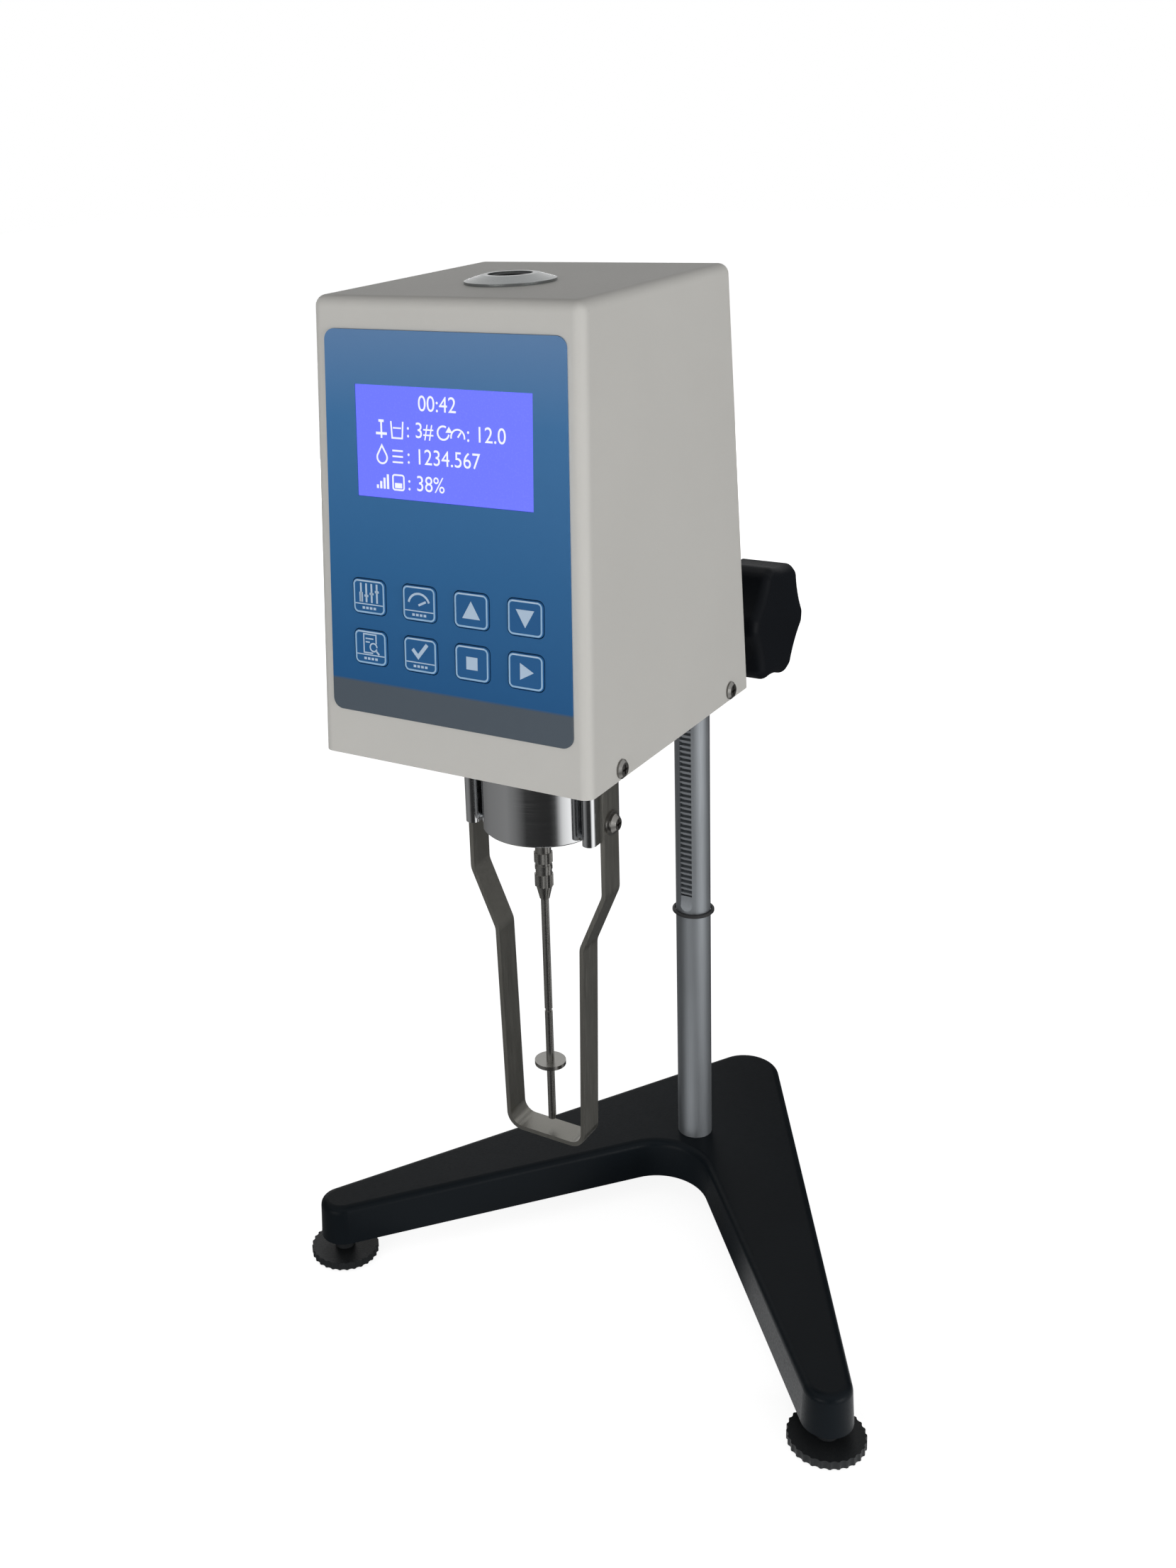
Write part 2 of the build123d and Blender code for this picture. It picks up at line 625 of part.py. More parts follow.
# ---------------------------------------------------------------- lift clamp
def make_clamp():
    """Cast slide: a barrel on the column with a block for shaft and rod."""
    barrel = rod_z(BARREL_RADIUS, BARREL_BOTTOM_Z, BARREL_TOP_Z)
    barrel = chamfer(barrel.edges(), COLUMN_CHAMFER)
    sides = (-BLOCK_HALF_WIDTH, BLOCK_HALF_WIDTH)
    nose = block(sides, (BLOCK_FRONT_Y, 0), (BLOCK_BOTTOM_Z, BARREL_TOP_Z - COLUMN_CHAMFER))
    nose = fillet(nose.edges().filter_by(Axis.Z).group_by(Axis.Y)[0], BLOCK_EDGE_RADIUS)
    nose = chamfer(nose.faces().sort_by(Axis.Z)[0].edges(), COLUMN_CHAMFER)
    boss = rod_x(LIFT_BOSS_RADIUS, LIFT_BOSS_LEFT_X, LIFT_BOSS_RIGHT_X)
    lock_boss = Pos(0, lock_y(), ROD_Z) * rod_x(LOCK_STUD_RADIUS * 2, LOCK_KNOB_X + 1, 0)
    body = barrel + nose + Pos(0, LIFT_AXIS_Y, LIFT_AXIS_Z) * boss + lock_boss
    body -= rod_z(COLUMN_RADIUS + RUNNING_FIT, BASE_TOP_Z, COLUMN_TOP_Z)
    tail = rod_x(LIFT_TAIL_RADIUS + RUNNING_FIT, LIFT_BOSS_LEFT_X, 0)
    socket = rod_x(BUSH_RADIUS + SEAT_GAP, -pinion_pocket_half(), LIFT_BOSS_RIGHT_X)
    body -= Pos(0, LIFT_AXIS_Y, LIFT_AXIS_Z) * (tail + socket)
    body -= Pos(0, 0, ROD_Z) * rod_y(ROD_RADIUS + RUNNING_FIT, BLOCK_FRONT_Y, ROD_END_Y + 1)
    lock_hole = rod_x(LOCK_STUD_RADIUS + RUNNING_FIT, LOCK_KNOB_X, 0)
    body -= Pos(0, lock_y(), ROD_Z) * lock_hole
    tension_hole = rod_y(TENSION_STUD_RADIUS + RUNNING_FIT, COLUMN_RADIUS / 2, TENSION_HEAD_Y)
    return body - Pos(0, 0, LIFT_AXIS_Z) * tension_hole


def lock_y():
    """Middle of the rod's length in the block, where the lock screw bears."""
    return (BLOCK_FRONT_Y + ROD_END_Y) / 2


def pinion_pocket_half():
    return PINION_WIDTH / 2 + PRESS_GAP


def pinion_outline():
    """Involute pinion with a tooth that points along local +X."""
    alpha = radians(PRESSURE_ANGLE)
    base_radius = PITCH_RADIUS * cos(alpha)
    tip_radius = PITCH_RADIUS + ADDENDUM
    root_radius = PITCH_RADIUS - DEDENDUM
    pitch_half_angle = pi / (2 * PINION_TEETH) - BACKLASH / (2 * PITCH_RADIUS)

    def flank(radius):
        """Half-thickness angle of a tooth at a radius."""
        here = acos(base_radius / radius)
        return pitch_half_angle + (tan(alpha) - alpha) - (tan(here) - here)

    steps = 4
    radii = [base_radius + (tip_radius - base_radius) * step / steps for step in range(steps + 1)]
    side = [(root_radius, flank(base_radius))] + [(radius, flank(radius)) for radius in radii]
    points = []
    for tooth in range(PINION_TEETH):
        middle = 2 * pi * tooth / PINION_TEETH
        rising = [(radius, middle - angle) for radius, angle in side]
        falling = [(radius, middle + angle) for radius, angle in reversed(side)]
        points += [(radius * cos(angle), radius * sin(angle)) for radius, angle in rising + falling]
    return make_face(Polyline(*points, close=True))


def make_pinion_shaft():
    """Shaft and pinion in one piece, along X, with a clip groove at its tail."""
    half = PINION_WIDTH / 2
    face = Plane.YZ.offset(-half) * pinion_outline()
    shaft = extrude(face, PINION_WIDTH, dir=(1, 0, 0))
    shaft += rod_x(LIFT_SHAFT_RADIUS, half, knob_back_x() + KNOB_BORE_DEPTH)
    tail_end = LIFT_BOSS_LEFT_X - 2 * CLIP_THICKNESS - 1
    shaft += rod_x(LIFT_TAIL_RADIUS, tail_end, -half)
    groove = rod_x(LIFT_TAIL_RADIUS, clip_x(), clip_x() + CLIP_THICKNESS)
    groove -= rod_x(CLIP_GROOVE_RADIUS, clip_x(), clip_x() + CLIP_THICKNESS)
    return shaft - groove


def clip_x():
    return LIFT_BOSS_LEFT_X - PRESS_GAP - CLIP_THICKNESS


def knob_back_x():
    return KNOB_FACE_X - KNOB_THICKNESS


def make_clip():
    """Open retaining clip in the groove of the shaft's tail."""
    ring = rod_x(CLIP_RADIUS, clip_x(), clip_x() + CLIP_THICKNESS)
    bore = rod_x(CLIP_GROOVE_RADIUS + SEAT_GAP, clip_x(), clip_x() + CLIP_THICKNESS)
    mouth = block(
        (clip_x(), clip_x() + CLIP_THICKNESS),
        (-CLIP_GROOVE_RADIUS, CLIP_GROOVE_RADIUS),
        (-CLIP_RADIUS, 0),
    )
    return ring - bore - mouth


def make_bush():
    """Flanged bush that closes the pinion pocket and carries the shaft."""
    flange_x = LIFT_BOSS_RIGHT_X
    bush = rod_x(BUSH_RADIUS, pinion_pocket_half(), flange_x)
    bush += rod_x(BUSH_FLANGE_RADIUS, flange_x, flange_x + BUSH_FLANGE_THICKNESS)
    bore = rod_x(LIFT_SHAFT_RADIUS + RUNNING_FIT, 0, flange_x + BUSH_FLANGE_THICKNESS)
    bush = at_lift_axis * (bush - bore)
    return bush - rod_z(COLUMN_RADIUS + PRESS_GAP, BARREL_BOTTOM_Z, BARREL_TOP_Z)


def make_lift_knob():
    """Six-lobed knob on the shaft's right end, blind-bored from behind."""
    half_step = 180 / KNOB_LOBES
    scoop = (KNOB_SCOOP_RADIUS, KNOB_SCOOP_DEPTH)
    outline = lobed_outline(KNOB_RADIUS, KNOB_LOBES, *scoop, phase=half_step + KNOB_REST_TURN)
    knob = lobed_grip(outline, KNOB_THICKNESS, KNOB_BLEND_RADIUS, KNOB_EDGE_RADIUS)
    knob = Pos(knob_back_x(), 0, 0) * Rot(0, 90, 0) * knob
    return knob - rod_x(LIFT_SHAFT_RADIUS + SEAT_GAP, knob_back_x(), knob_back_x() + KNOB_BORE_DEPTH)


def make_lock_knob():
    """Small lobed knob moulded on the stud that holds the head's rod."""
    scoop = (LOCK_SCOOP_RADIUS, LOCK_SCOOP_DEPTH)
    outline = lobed_outline(LOCK_KNOB_RADIUS, LOCK_KNOB_LOBES, *scoop)
    grip = lobed_grip(outline, LOCK_KNOB_LENGTH, LOCK_BLEND_RADIUS, LOCK_EDGE_RADIUS)
    grip = Pos(LOCK_KNOB_X, 0, 0) * Rot(0, -90, 0) * grip
    return grip + rod_x(LOCK_STUD_RADIUS, LOCK_KNOB_X, -ROD_RADIUS - PRESS_GAP)


def make_tension_screw():
    """Knurled screw at the back that sets how stiffly the slide runs."""
    head = knurled(TENSION_HEAD_RADIUS, TENSION_HEAD_LENGTH, TENSION_GRIPS, TENSION_GRIP_CUT)
    head = Pos(0, TENSION_HEAD_Y, 0) * Rot(-90, 0, 0) * head
    return head + rod_y(TENSION_STUD_RADIUS, COLUMN_RADIUS + PRESS_GAP, TENSION_HEAD_Y)


pieces["clamp_body"] = make_clamp()
pieces["pinion_shaft"] = at_lift_axis * make_pinion_shaft()
pieces["pinion_bush"] = make_bush()
pieces["shaft_clip"] = at_lift_axis * make_clip()
pieces["lift_knob"] = at_lift_axis * make_lift_knob()
pieces["rod_lock_knob"] = Pos(0, lock_y(), ROD_Z) * make_lock_knob()
pieces["tension_screw"] = Pos(0, 0, LIFT_AXIS_Z) * make_tension_screw()


# ------------------------------------------------------------ head, housing
def cover_block(inset, bottom_z, edge_radius):
    """Tapered block of the housing, drawn in by an inset on every wall."""
    top_z = HEAD_TOP_Z - inset
    side, front = [], []
    for z in (bottom_z, top_z):
        front_y = HEAD_FRONT_Y + (z - HEAD_Z) * tan(radians(FRONT_LEAN)) + inset
        rear_y = HEAD_REAR_Y - (z - HEAD_Z) * tan(radians(REAR_LEAN)) - inset
        half = side_x(z) - inset
        side += [(front_y, z), (rear_y, z)]
        front += [(-half, z), (half, z)]
    side_face = make_face(Plane.YZ * Polyline(side[0], side[1], side[3], side[2], close=True))
    front_face = make_face(Plane.XZ * Polyline(front[0], front[1], front[3], front[2], close=True))
    across = extrude(side_face, HEAD_HALF_WIDTH, both=True)
    solid = across & extrude(front_face, -2 * HEAD_FRONT_Y, both=True)
    rounded = solid.edges() - solid.faces().sort_by(Axis.Z)[0].edges()
    return fillet(rounded, edge_radius)


def side_x(z):
    """Outer face of the cover's side wall at a height."""
    return HEAD_HALF_WIDTH + (HEAD_TOP_HALF_WIDTH - HEAD_HALF_WIDTH) * (z - HEAD_Z) / HEAD_HEIGHT


def screw_z():
    return CHASSIS_BOTTOM_Z + CHASSIS_THICKNESS / 2


def cover_screw_places():
    """Location of each cover screw, with local +Z pointing out of the side."""
    seat = side_x(screw_z()) + SEAT_GAP
    return [
        Pos(side * seat, y, screw_z()) * Rot(0, 90 * side, 0)
        for side in (-1, 1)
        for y in (SCREW_FRONT_Y, SCREW_REAR_Y)
    ]


def screw_holes(radius):
    """Cutter for the cover's screws, drilled across from side to side."""
    drill = rod_x(radius, -HEAD_HALF_WIDTH, HEAD_HALF_WIDTH)
    return Pos(0, SCREW_FRONT_Y, screw_z()) * drill + Pos(0, SCREW_REAR_Y, screw_z()) * drill


def panel_face(shrink=0):
    """Outline of the front overlay, its sides parallel to the housing's."""
    top = PANEL_BOTTOM + PANEL_HEIGHT
    low_half = side_x(HEAD_Z + PANEL_BOTTOM) - PANEL_SIDE_MARGIN - shrink
    top_half = side_x(HEAD_Z + top) - PANEL_SIDE_MARGIN - shrink
    corners = [
        (-low_half, PANEL_BOTTOM + shrink),
        (low_half, PANEL_BOTTOM + shrink),
        (top_half, top - shrink),
        (-top_half, top - shrink),
    ]
    outline = make_face(Polyline(*corners, close=True))
    return fillet(outline.vertices(), PANEL_CORNER_RADIUS)


def key_places():
    """Centre of every key on the front face, by node name."""
    places = {}
    for row, names in zip((KEY_ROW_UPPER, KEY_ROW_LOWER), KEY_NAMES):
        for column, name in enumerate(names):
            across = (column - (KEY_COLUMNS - 1) / 2) * KEY_SPACING
            places[name] = (across, row)
    return places


def key_field():
    """Rectangle behind all eight keys, as (centre height, width, height)."""
    middle = (KEY_ROW_UPPER + KEY_ROW_LOWER) / 2
    width = (KEY_COLUMNS - 1) * KEY_SPACING + KEY_WIDTH + 4 * KEY_GAP
    height = KEY_ROW_UPPER - KEY_ROW_LOWER + KEY_HEIGHT + 4 * KEY_GAP
    return middle, width, height


def on_face(plane, face, start, end):
    """Extrude a face drawn on a wall between two depths along its normal."""
    return extrude(plane.offset(start) * face, end - start, dir=plane.z_dir)


def make_cover():
    """Five-sided painted cover, open below, with its windows and holes."""
    cover = cover_block(0, HEAD_Z, COVER_EDGE_RADIUS)
    cover -= cover_block(COVER_WALL, HEAD_Z - COVER_WALL, COVER_EDGE_RADIUS - COVER_WALL)
    through = (-2 * COVER_WALL, COVER_WALL)
    display = Rectangle(DISPLAY_WIDTH + DISPLAY_MARGIN, DISPLAY_HEIGHT + DISPLAY_MARGIN)
    display = Pos(0, DISPLAY_CENTRE) * display
    middle, width, height = key_field()
    keys = Pos(0, middle) * Rectangle(width, height)
    cover -= on_face(FRONT, display, *through)
    cover -= on_face(FRONT, keys, *through)
    switch = Pos(-SWITCH_X, POWER_HEIGHT) * Rectangle(*switch_body_size(HOLE_GAP))
    jack = Pos(-JACK_X, POWER_HEIGHT) * Circle(JACK_RADIUS + SEAT_GAP)
    cover -= on_face(REAR, switch, *through)
    cover -= on_face(REAR, jack, *through)
    rod_hole = rod_y(ROD_RADIUS + HOLE_GAP, BRACKET_Y, HEAD_REAR_Y)
    cover -= Pos(0, 0, ROD_Z) * rod_hole
    level_hole = rod_z(LEVEL_SPIGOT_RADIUS + SEAT_GAP, HEAD_TOP_Z - 2 * COVER_WALL, HEAD_TOP_Z)
    cover -= Pos(0, LEVEL_Y) * level_hole
    return cover - screw_holes(COVER_SCREW_RADIUS + HOLE_GAP)


def make_chassis():
    """Thick plate that closes the housing below and carries everything."""
    inset = COVER_WALL + HOLE_GAP
    plate = cover_block(inset, HEAD_Z, COVER_EDGE_RADIUS - COVER_WALL)
    span = (-HEAD_HALF_WIDTH, HEAD_HALF_WIDTH)
    depth = (HEAD_FRONT_Y, HEAD_REAR_Y)
    plate &= block(span, depth, (CHASSIS_BOTTOM_Z, CHASSIS_TOP_Z))
    plate -= at_spindle * rod_z(BEARING_RADIUS + SEAT_GAP / 2, CHASSIS_BOTTOM_Z, CHASSIS_TOP_Z)
    return plate - screw_holes(COVER_SCREW_RADIUS + SEAT_GAP / 2)


def make_cover_screws():
    head = (COVER_SCREW_HEAD_RADIUS, COVER_SCREW_HEAD)
    screw = pan_screw(*head, COVER_SCREW_RADIUS, COVER_SCREW_LENGTH)
    return as_group(*[place * screw for place in cover_screw_places()])


def make_rod_bracket():
    """Angle on the chassis, tapped for the rod that hangs the head."""
    sides = (-BRACKET_WIDTH / 2, BRACKET_WIDTH / 2)
    upright = block(sides, (BRACKET_Y, BRACKET_Y + BRACKET_PLATE), (CHASSIS_TOP_Z, BRACKET_TOP_Z))
    upright = chamfer(upright.edges().filter_by(Axis.Y).group_by(Axis.Z)[-1], BRACKET_PLATE)
    foot_depth = (BRACKET_Y - BRACKET_FOOT, BRACKET_Y)
    foot = block(sides, foot_depth, (CHASSIS_TOP_Z, CHASSIS_TOP_Z + BRACKET_PLATE))
    hole = rod_y(ROD_THREAD_RADIUS + SEAT_GAP, BRACKET_Y, BRACKET_Y + BRACKET_PLATE)
    return upright + foot - Pos(0, 0, ROD_Z) * hole


def make_rod():
    """Shouldered rod from the head's bracket into the lift clamp."""
    shoulder_y = BRACKET_Y + BRACKET_PLATE
    rod = rod_y(ROD_RADIUS, shoulder_y, ROD_END_Y)
    rod = chamfer(rod.edges().sort_by(Axis.Y)[-1], COLUMN_CHAMFER)
    return Pos(0, 0, ROD_Z) * (rod + rod_y(ROD_THREAD_RADIUS, BRACKET_Y, shoulder_y))


def switch_body_size(clearance=0):
    """Width and height of the switch's can, behind its rim."""
    margin = 2 * (clearance - SWITCH_RIM)
    return SWITCH_WIDTH + margin, SWITCH_TALL + margin


def rocker_size():
    """Width and height of the rocker that fills the can's mouth."""
    width, tall = switch_body_size(-SWITCH_FRAME_WALL)
    return width - 2 * KEY_GAP, tall - 2 * KEY_GAP


def switch_place():
    return REAR * Pos(-SWITCH_X, POWER_HEIGHT, 0)


def make_switch_frame():
    """Rim and can of the power switch, open in front for the rocker."""
    rim = extrude(RectangleRounded(SWITCH_WIDTH, SWITCH_TALL, SWITCH_RIM), SWITCH_RIM)
    can = extrude(Rectangle(*switch_body_size()), -SWITCH_CAN_DEPTH)
    mouth = Rectangle(*switch_body_size(-SWITCH_FRAME_WALL))
    mouth_depth = SWITCH_CAN_DEPTH - SWITCH_FRAME_WALL
    mouth = extrude(Pos(0, 0, SWITCH_RIM) * mouth, -SWITCH_RIM - mouth_depth)
    return switch_place() * (rim + can - mouth)


def make_rocker():
    """Rocker with a dished face, on a pin along X, at rest in its off position."""
    width, tall = rocker_size()
    side = Pos(0, ROCKER_DROP) * Circle(tall / 2 / cos(radians(ROCKER_SWING)))
    side &= Pos(0, ROCKER_DROP) * Rectangle(tall, tall)
    dish_y = ROCKER_DROP + tall / 2 + ROCKER_DISH_RADIUS - ROCKER_DISH
    side -= Pos(0, dish_y) * Circle(ROCKER_DISH_RADIUS)
    rocker = Pos(0, 0, -ROCKER_DROP) * extrude(Plane.YZ * side, width / 2, both=True)
    off_position = Pos(0, 0, ROCKER_DROP) * Rot(ROCKER_SWING / 2, 0, 0)
    return switch_place() * off_position * rocker


def make_jack():
    """Round low-voltage inlet: threaded barrel, hexagon nut and centre pin."""
    mouth = JACK_NUT_THICKNESS + 1
    barrel = rod_z(JACK_RADIUS, -JACK_DEPTH, mouth)
    hexagon = extrude(RegularPolygon(JACK_NUT_AF / 2, 6, major_radius=False), JACK_NUT_THICKNESS)
    bore = rod_z(JACK_BORE_RADIUS, COVER_WALL - JACK_DEPTH, mouth)
    pin = rod_z(JACK_PIN_RADIUS, -JACK_DEPTH, 0)
    return REAR * Pos(-JACK_X, POWER_HEIGHT, 0) * (barrel + hexagon - bore + pin)


def make_level():
    """Conical bezel, dark seal ring and vial of the bubble level on top."""
    rim = LEVEL_RIM_HEIGHT
    bezel = turned(
        (LEVEL_BORE_RADIUS, -LEVEL_SPIGOT_DEPTH),
        (LEVEL_SPIGOT_RADIUS, -LEVEL_SPIGOT_DEPTH),
        (LEVEL_SPIGOT_RADIUS, 0),
        (LEVEL_RADIUS, 0),
        (LEVEL_RADIUS, rim),
        (LEVEL_TOP_RADIUS, LEVEL_HEIGHT),
        (LEVEL_BORE_RADIUS, LEVEL_HEIGHT),
    )
    seal_top = LEVEL_HEIGHT - LEVEL_SEAL_DROP
    outer = LEVEL_BORE_RADIUS - SEAT_GAP / 2
    seal = rod_z(outer, -LEVEL_SPIGOT_DEPTH, seal_top)
    seal -= rod_z(LEVEL_SEAL_BORE, -LEVEL_SPIGOT_DEPTH, seal_top)
    vial = rod_z(LEVEL_SEAL_BORE - SEAT_GAP / 2, -VIAL_DEPTH, seal_top - LEVEL_SEAL_DROP)
    place = Pos(0, LEVEL_Y, HEAD_TOP_Z)
    return place * bezel, place * seal, place * vial


pieces["housing_cover"] = make_cover()
pieces["chassis_plate"] = make_chassis()
pieces["cover_screws"] = make_cover_screws()
pieces["rod_bracket"] = make_rod_bracket()
pieces["head_rod"] = make_rod()
pieces["switch_frame"] = make_switch_frame()
pieces["switch_rocker"] = make_rocker()
pieces["power_jack"] = make_jack()
pieces["level_bezel"], pieces["level_seal"], pieces["level_vial"] = make_level()


# ------------------------------------------------------- front panel, display
def make_panel():
    """Membrane overlay with openings for the display and the keys."""
    face = panel_face()
    face -= Pos(0, DISPLAY_CENTRE) * Rectangle(DISPLAY_WIDTH, DISPLAY_HEIGHT)
    opening_size = (KEY_WIDTH + 2 * KEY_GAP, KEY_HEIGHT + 2 * KEY_GAP)
    opening = RectangleRounded(*opening_size, KEY_CORNER_RADIUS + KEY_GAP)
    for place in key_places().values():
        face -= Pos(place) * opening
    return on_face(FRONT, face, 0, PANEL_THICKNESS)


def make_window():
    """Clear window in the overlay, over the display."""
    pane = Rectangle(DISPLAY_WIDTH - 2 * SEAT_GAP, DISPLAY_HEIGHT - 2 * SEAT_GAP)
    outer = PANEL_THICKNESS - WINDOW_RECESS
    return on_face(FRONT, Pos(0, DISPLAY_CENTRE) * pane, outer - WINDOW_THICKNESS, outer)


def make_display():
    """Display module: a metal bezel over its glass, on a printed board."""
    back = -COVER_WALL
    bezel = Rectangle(DISPLAY_WIDTH + 2 * DISPLAY_MARGIN, DISPLAY_HEIGHT + 2 * DISPLAY_MARGIN)
    board = Rectangle(MODULE_WIDTH, MODULE_HEIGHT)
    centre = Pos(0, DISPLAY_CENTRE)
    bezel_back = back - MODULE_BEZEL
    module = on_face(FRONT, centre * bezel, bezel_back, back)
    return module + on_face(FRONT, centre * board, bezel_back - MODULE_BOARD, bezel_back)


def make_key():
    """Key cap that shows through the overlay, drawn on the origin."""
    cap = extrude(RectangleRounded(KEY_WIDTH, KEY_HEIGHT, KEY_CORNER_RADIUS), KEY_DEPTH)
    cap = chamfer(cap.faces().sort_by(Axis.Z)[-1].edges(), KEY_CHAMFER)
    return Pos(0, 0, PANEL_THICKNESS + KEY_PROUD - KEY_DEPTH) * cap


def make_key_board():
    """Board behind the keys: a push switch for each, and four standoffs."""
    key_back = PANEL_THICKNESS + KEY_PROUD - KEY_DEPTH
    plunger_top = key_back - KEY_TRAVEL - SEAT_GAP
    board_top = plunger_top - SWITCH_HEIGHT
    middle = key_field()[0]
    board = extrude(Rectangle(KEY_BOARD_WIDTH, KEY_BOARD_HEIGHT), -KEY_BOARD_THICKNESS)
    solid = Pos(0, middle, board_top) * board
    switch = Pos(0, 0, SWITCH_BODY / 2) * Box(SWITCH_SIDE, SWITCH_SIDE, SWITCH_BODY)
    switch += Pos(0, 0, SWITCH_HEIGHT / 2) * Box(PLUNGER_SIDE, PLUNGER_SIDE, SWITCH_HEIGHT)
    for x, y in key_places().values():
        solid += Pos(x, y, board_top) * switch
    inset = BOARD_STANDOFF_RADIUS
    across = KEY_BOARD_WIDTH - 2 * inset
    up = KEY_BOARD_HEIGHT - 2 * inset
    standoff = Cylinder(inset, -COVER_WALL - board_top, align=UPWARD)
    for corner in GridLocations(across, up, 2, 2):
        solid += Pos(0, middle, board_top) * corner * standoff
    return FRONT * solid


pieces["front_panel"] = make_panel()
pieces["display_window"] = make_window()
pieces["display_module"] = make_display()
pieces["key_board"] = make_key_board()
for name, place in key_places().items():
    pieces[name] = FRONT * Pos(place) * make_key()


# ------------------------------------------------------------ cup and guard
def make_cup():
    """Polished cup under the housing, with a bearing seat in its floor."""
    inner = CUP_RADIUS - CUP_WALL
    bore = BEARING_RADIUS + SEAT_GAP / 2
    return turned(
        (bore, CUP_BOTTOM_Z),
        (CUP_RADIUS - CUP_CHAMFER, CUP_BOTTOM_Z),
        (CUP_RADIUS, CUP_BOTTOM_Z + CUP_CHAMFER),
        (CUP_RADIUS, CHASSIS_BOTTOM_Z),
        (inner, CHASSIS_BOTTOM_Z),
        (inner, CUP_BOTTOM_Z + CUP_FLOOR),
        (bore, CUP_BOTTOM_Z + CUP_FLOOR),
    )


def guard_block():
    """Right-hand block beside the cup, round-nosed, drilled for its screw."""
    outline = Rectangle(GUARD_BLOCK_THICKNESS, GUARD_BLOCK_LENGTH)
    outline = fillet(outline.vertices(), GUARD_BLOCK_NOSE)
    solid = extrude(outline, CHASSIS_BOTTOM_Z - CUP_BOTTOM_Z)
    solid = Pos(GUARD_BLOCK_X + GUARD_BLOCK_THICKNESS / 2, 0, CUP_BOTTOM_Z) * solid
    hole = rod_x(GUARD_SCREW_RADIUS + SEAT_GAP / 2, GUARD_BLOCK_X, 2 * GUARD_BLOCK_X)
    return solid - Pos(0, 0, GUARD_SCREW_Z) * hole


def make_guard():
    """Bent strip in a waisted U round the spindle, drilled at both ends."""
    middle = GUARD_STRIP_X + GUARD_THICKNESS / 2
    floor = GUARD_BOTTOM_Z + GUARD_THICKNESS / 2
    right = [
        (middle, CHASSIS_BOTTOM_Z - GUARD_TOP_GAP),
        (middle, GUARD_SHOULDER_Z),
        (GUARD_WAIST_HALF, GUARD_WAIST_Z),
        (GUARD_FOOT_HALF, floor),
    ]
    left = [(-x, z) for x, z in reversed(right)]
    bend, foot = GUARD_SHOULDER_RADIUS, GUARD_FOOT_RADIUS
    path = Plane.XZ * FilletPolyline(*right, *left, radius=[bend, bend, foot, foot, bend, bend])
    strip = Plane(origin=path @ 0, z_dir=path % 0) * Rectangle(GUARD_THICKNESS, GUARD_WIDTH)
    guard = sweep(strip, path)
    hole = rod_x(GUARD_SCREW_RADIUS + HOLE_GAP, -2 * middle, 2 * middle)
    return guard - Pos(0, 0, GUARD_SCREW_Z) * hole


def guard_screw_places(seat):
    """Right and left screw locations, with local +Z pointing outwards."""
    return [Pos(side * seat, 0, GUARD_SCREW_Z) * Rot(0, 90 * side, 0) for side in (1, -1)]


def make_guard_screws():
    seat = GUARD_STRIP_X + GUARD_THICKNESS + WASHER_THICKNESS
    head = (GUARD_SCREW_HEAD_RADIUS, GUARD_SCREW_HEAD)
    screw = pan_screw(*head, GUARD_SCREW_RADIUS, GUARD_SCREW_LENGTH)
    return as_group(*[at_spindle * place * screw for place in guard_screw_places(seat)])


def make_guard_washers():
    washer = Cylinder(WASHER_RADIUS, WASHER_THICKNESS, align=UPWARD)
    washer -= Cylinder(GUARD_SCREW_RADIUS + SEAT_GAP, 4 * WASHER_THICKNESS)
    seat = GUARD_STRIP_X + GUARD_THICKNESS
    return as_group(*[at_spindle * place * washer for place in guard_screw_places(seat)])


pieces["cup_housing"] = at_spindle * make_cup()
pieces["guard_blocks"] = as_group(at_spindle * guard_block(), at_spindle * Rot(0, 0, 180) * guard_block())
pieces["guard"] = at_spindle * make_guard()
pieces["guard_screws"] = make_guard_screws()
pieces["guard_washers"] = make_guard_washers()


# ------------------------------------------------- motor, sensors and boards
def make_motor():
    """Square stepper motor with a pilot boss and a bore for its shaft."""
    bottom = MOTOR_PLATE_Z + MOTOR_PLATE_THICKNESS
    can = extrude(chamfer(Rectangle(MOTOR_SIDE, MOTOR_SIDE).vertices(), MOTOR_CORNER), MOTOR_LENGTH)
    boss = rod_z(MOTOR_BOSS_RADIUS, bottom - MOTOR_BOSS_HEIGHT, bottom)
    bore = rod_z(MOTOR_SHAFT_RADIUS + RUNNING_FIT, bottom - MOTOR_BOSS_HEIGHT, MOTOR_SHAFT_TOP_Z + 1)
    return Pos(0, 0, bottom) * can + boss - bore


def make_motor_plate():
    """Plate over the pillars, cut for the motor's pilot boss."""
    plate = extrude(Rectangle(MOTOR_PLATE_LENGTH, MOTOR_PLATE_DEPTH), MOTOR_PLATE_THICKNESS)
    plate = fillet(plate.edges().filter_by(Axis.Z), PILLAR_RADIUS)
    plate = Pos(0, 0, MOTOR_PLATE_Z) * plate
    top = MOTOR_PLATE_Z + MOTOR_PLATE_THICKNESS
    return plate - rod_z(MOTOR_BOSS_RADIUS + SEAT_GAP, MOTOR_PLATE_Z, top)


def make_pillars():
    pillar = rod_z(PILLAR_RADIUS, CHASSIS_TOP_Z, MOTOR_PLATE_Z)
    places = GridLocations(2 * PILLAR_X, 2 * PILLAR_Y, 2, 2)
    return as_group(*[at_spindle * place * pillar for place in places])


def make_bearing(bottom):
    """Plain ring bearing for the pivot shaft."""
    ring = rod_z(BEARING_RADIUS, bottom, bottom + BEARING_WIDTH)
    return ring - rod_z(PIVOT_RADIUS + RUNNING_FIT, bottom, bottom + BEARING_WIDTH)


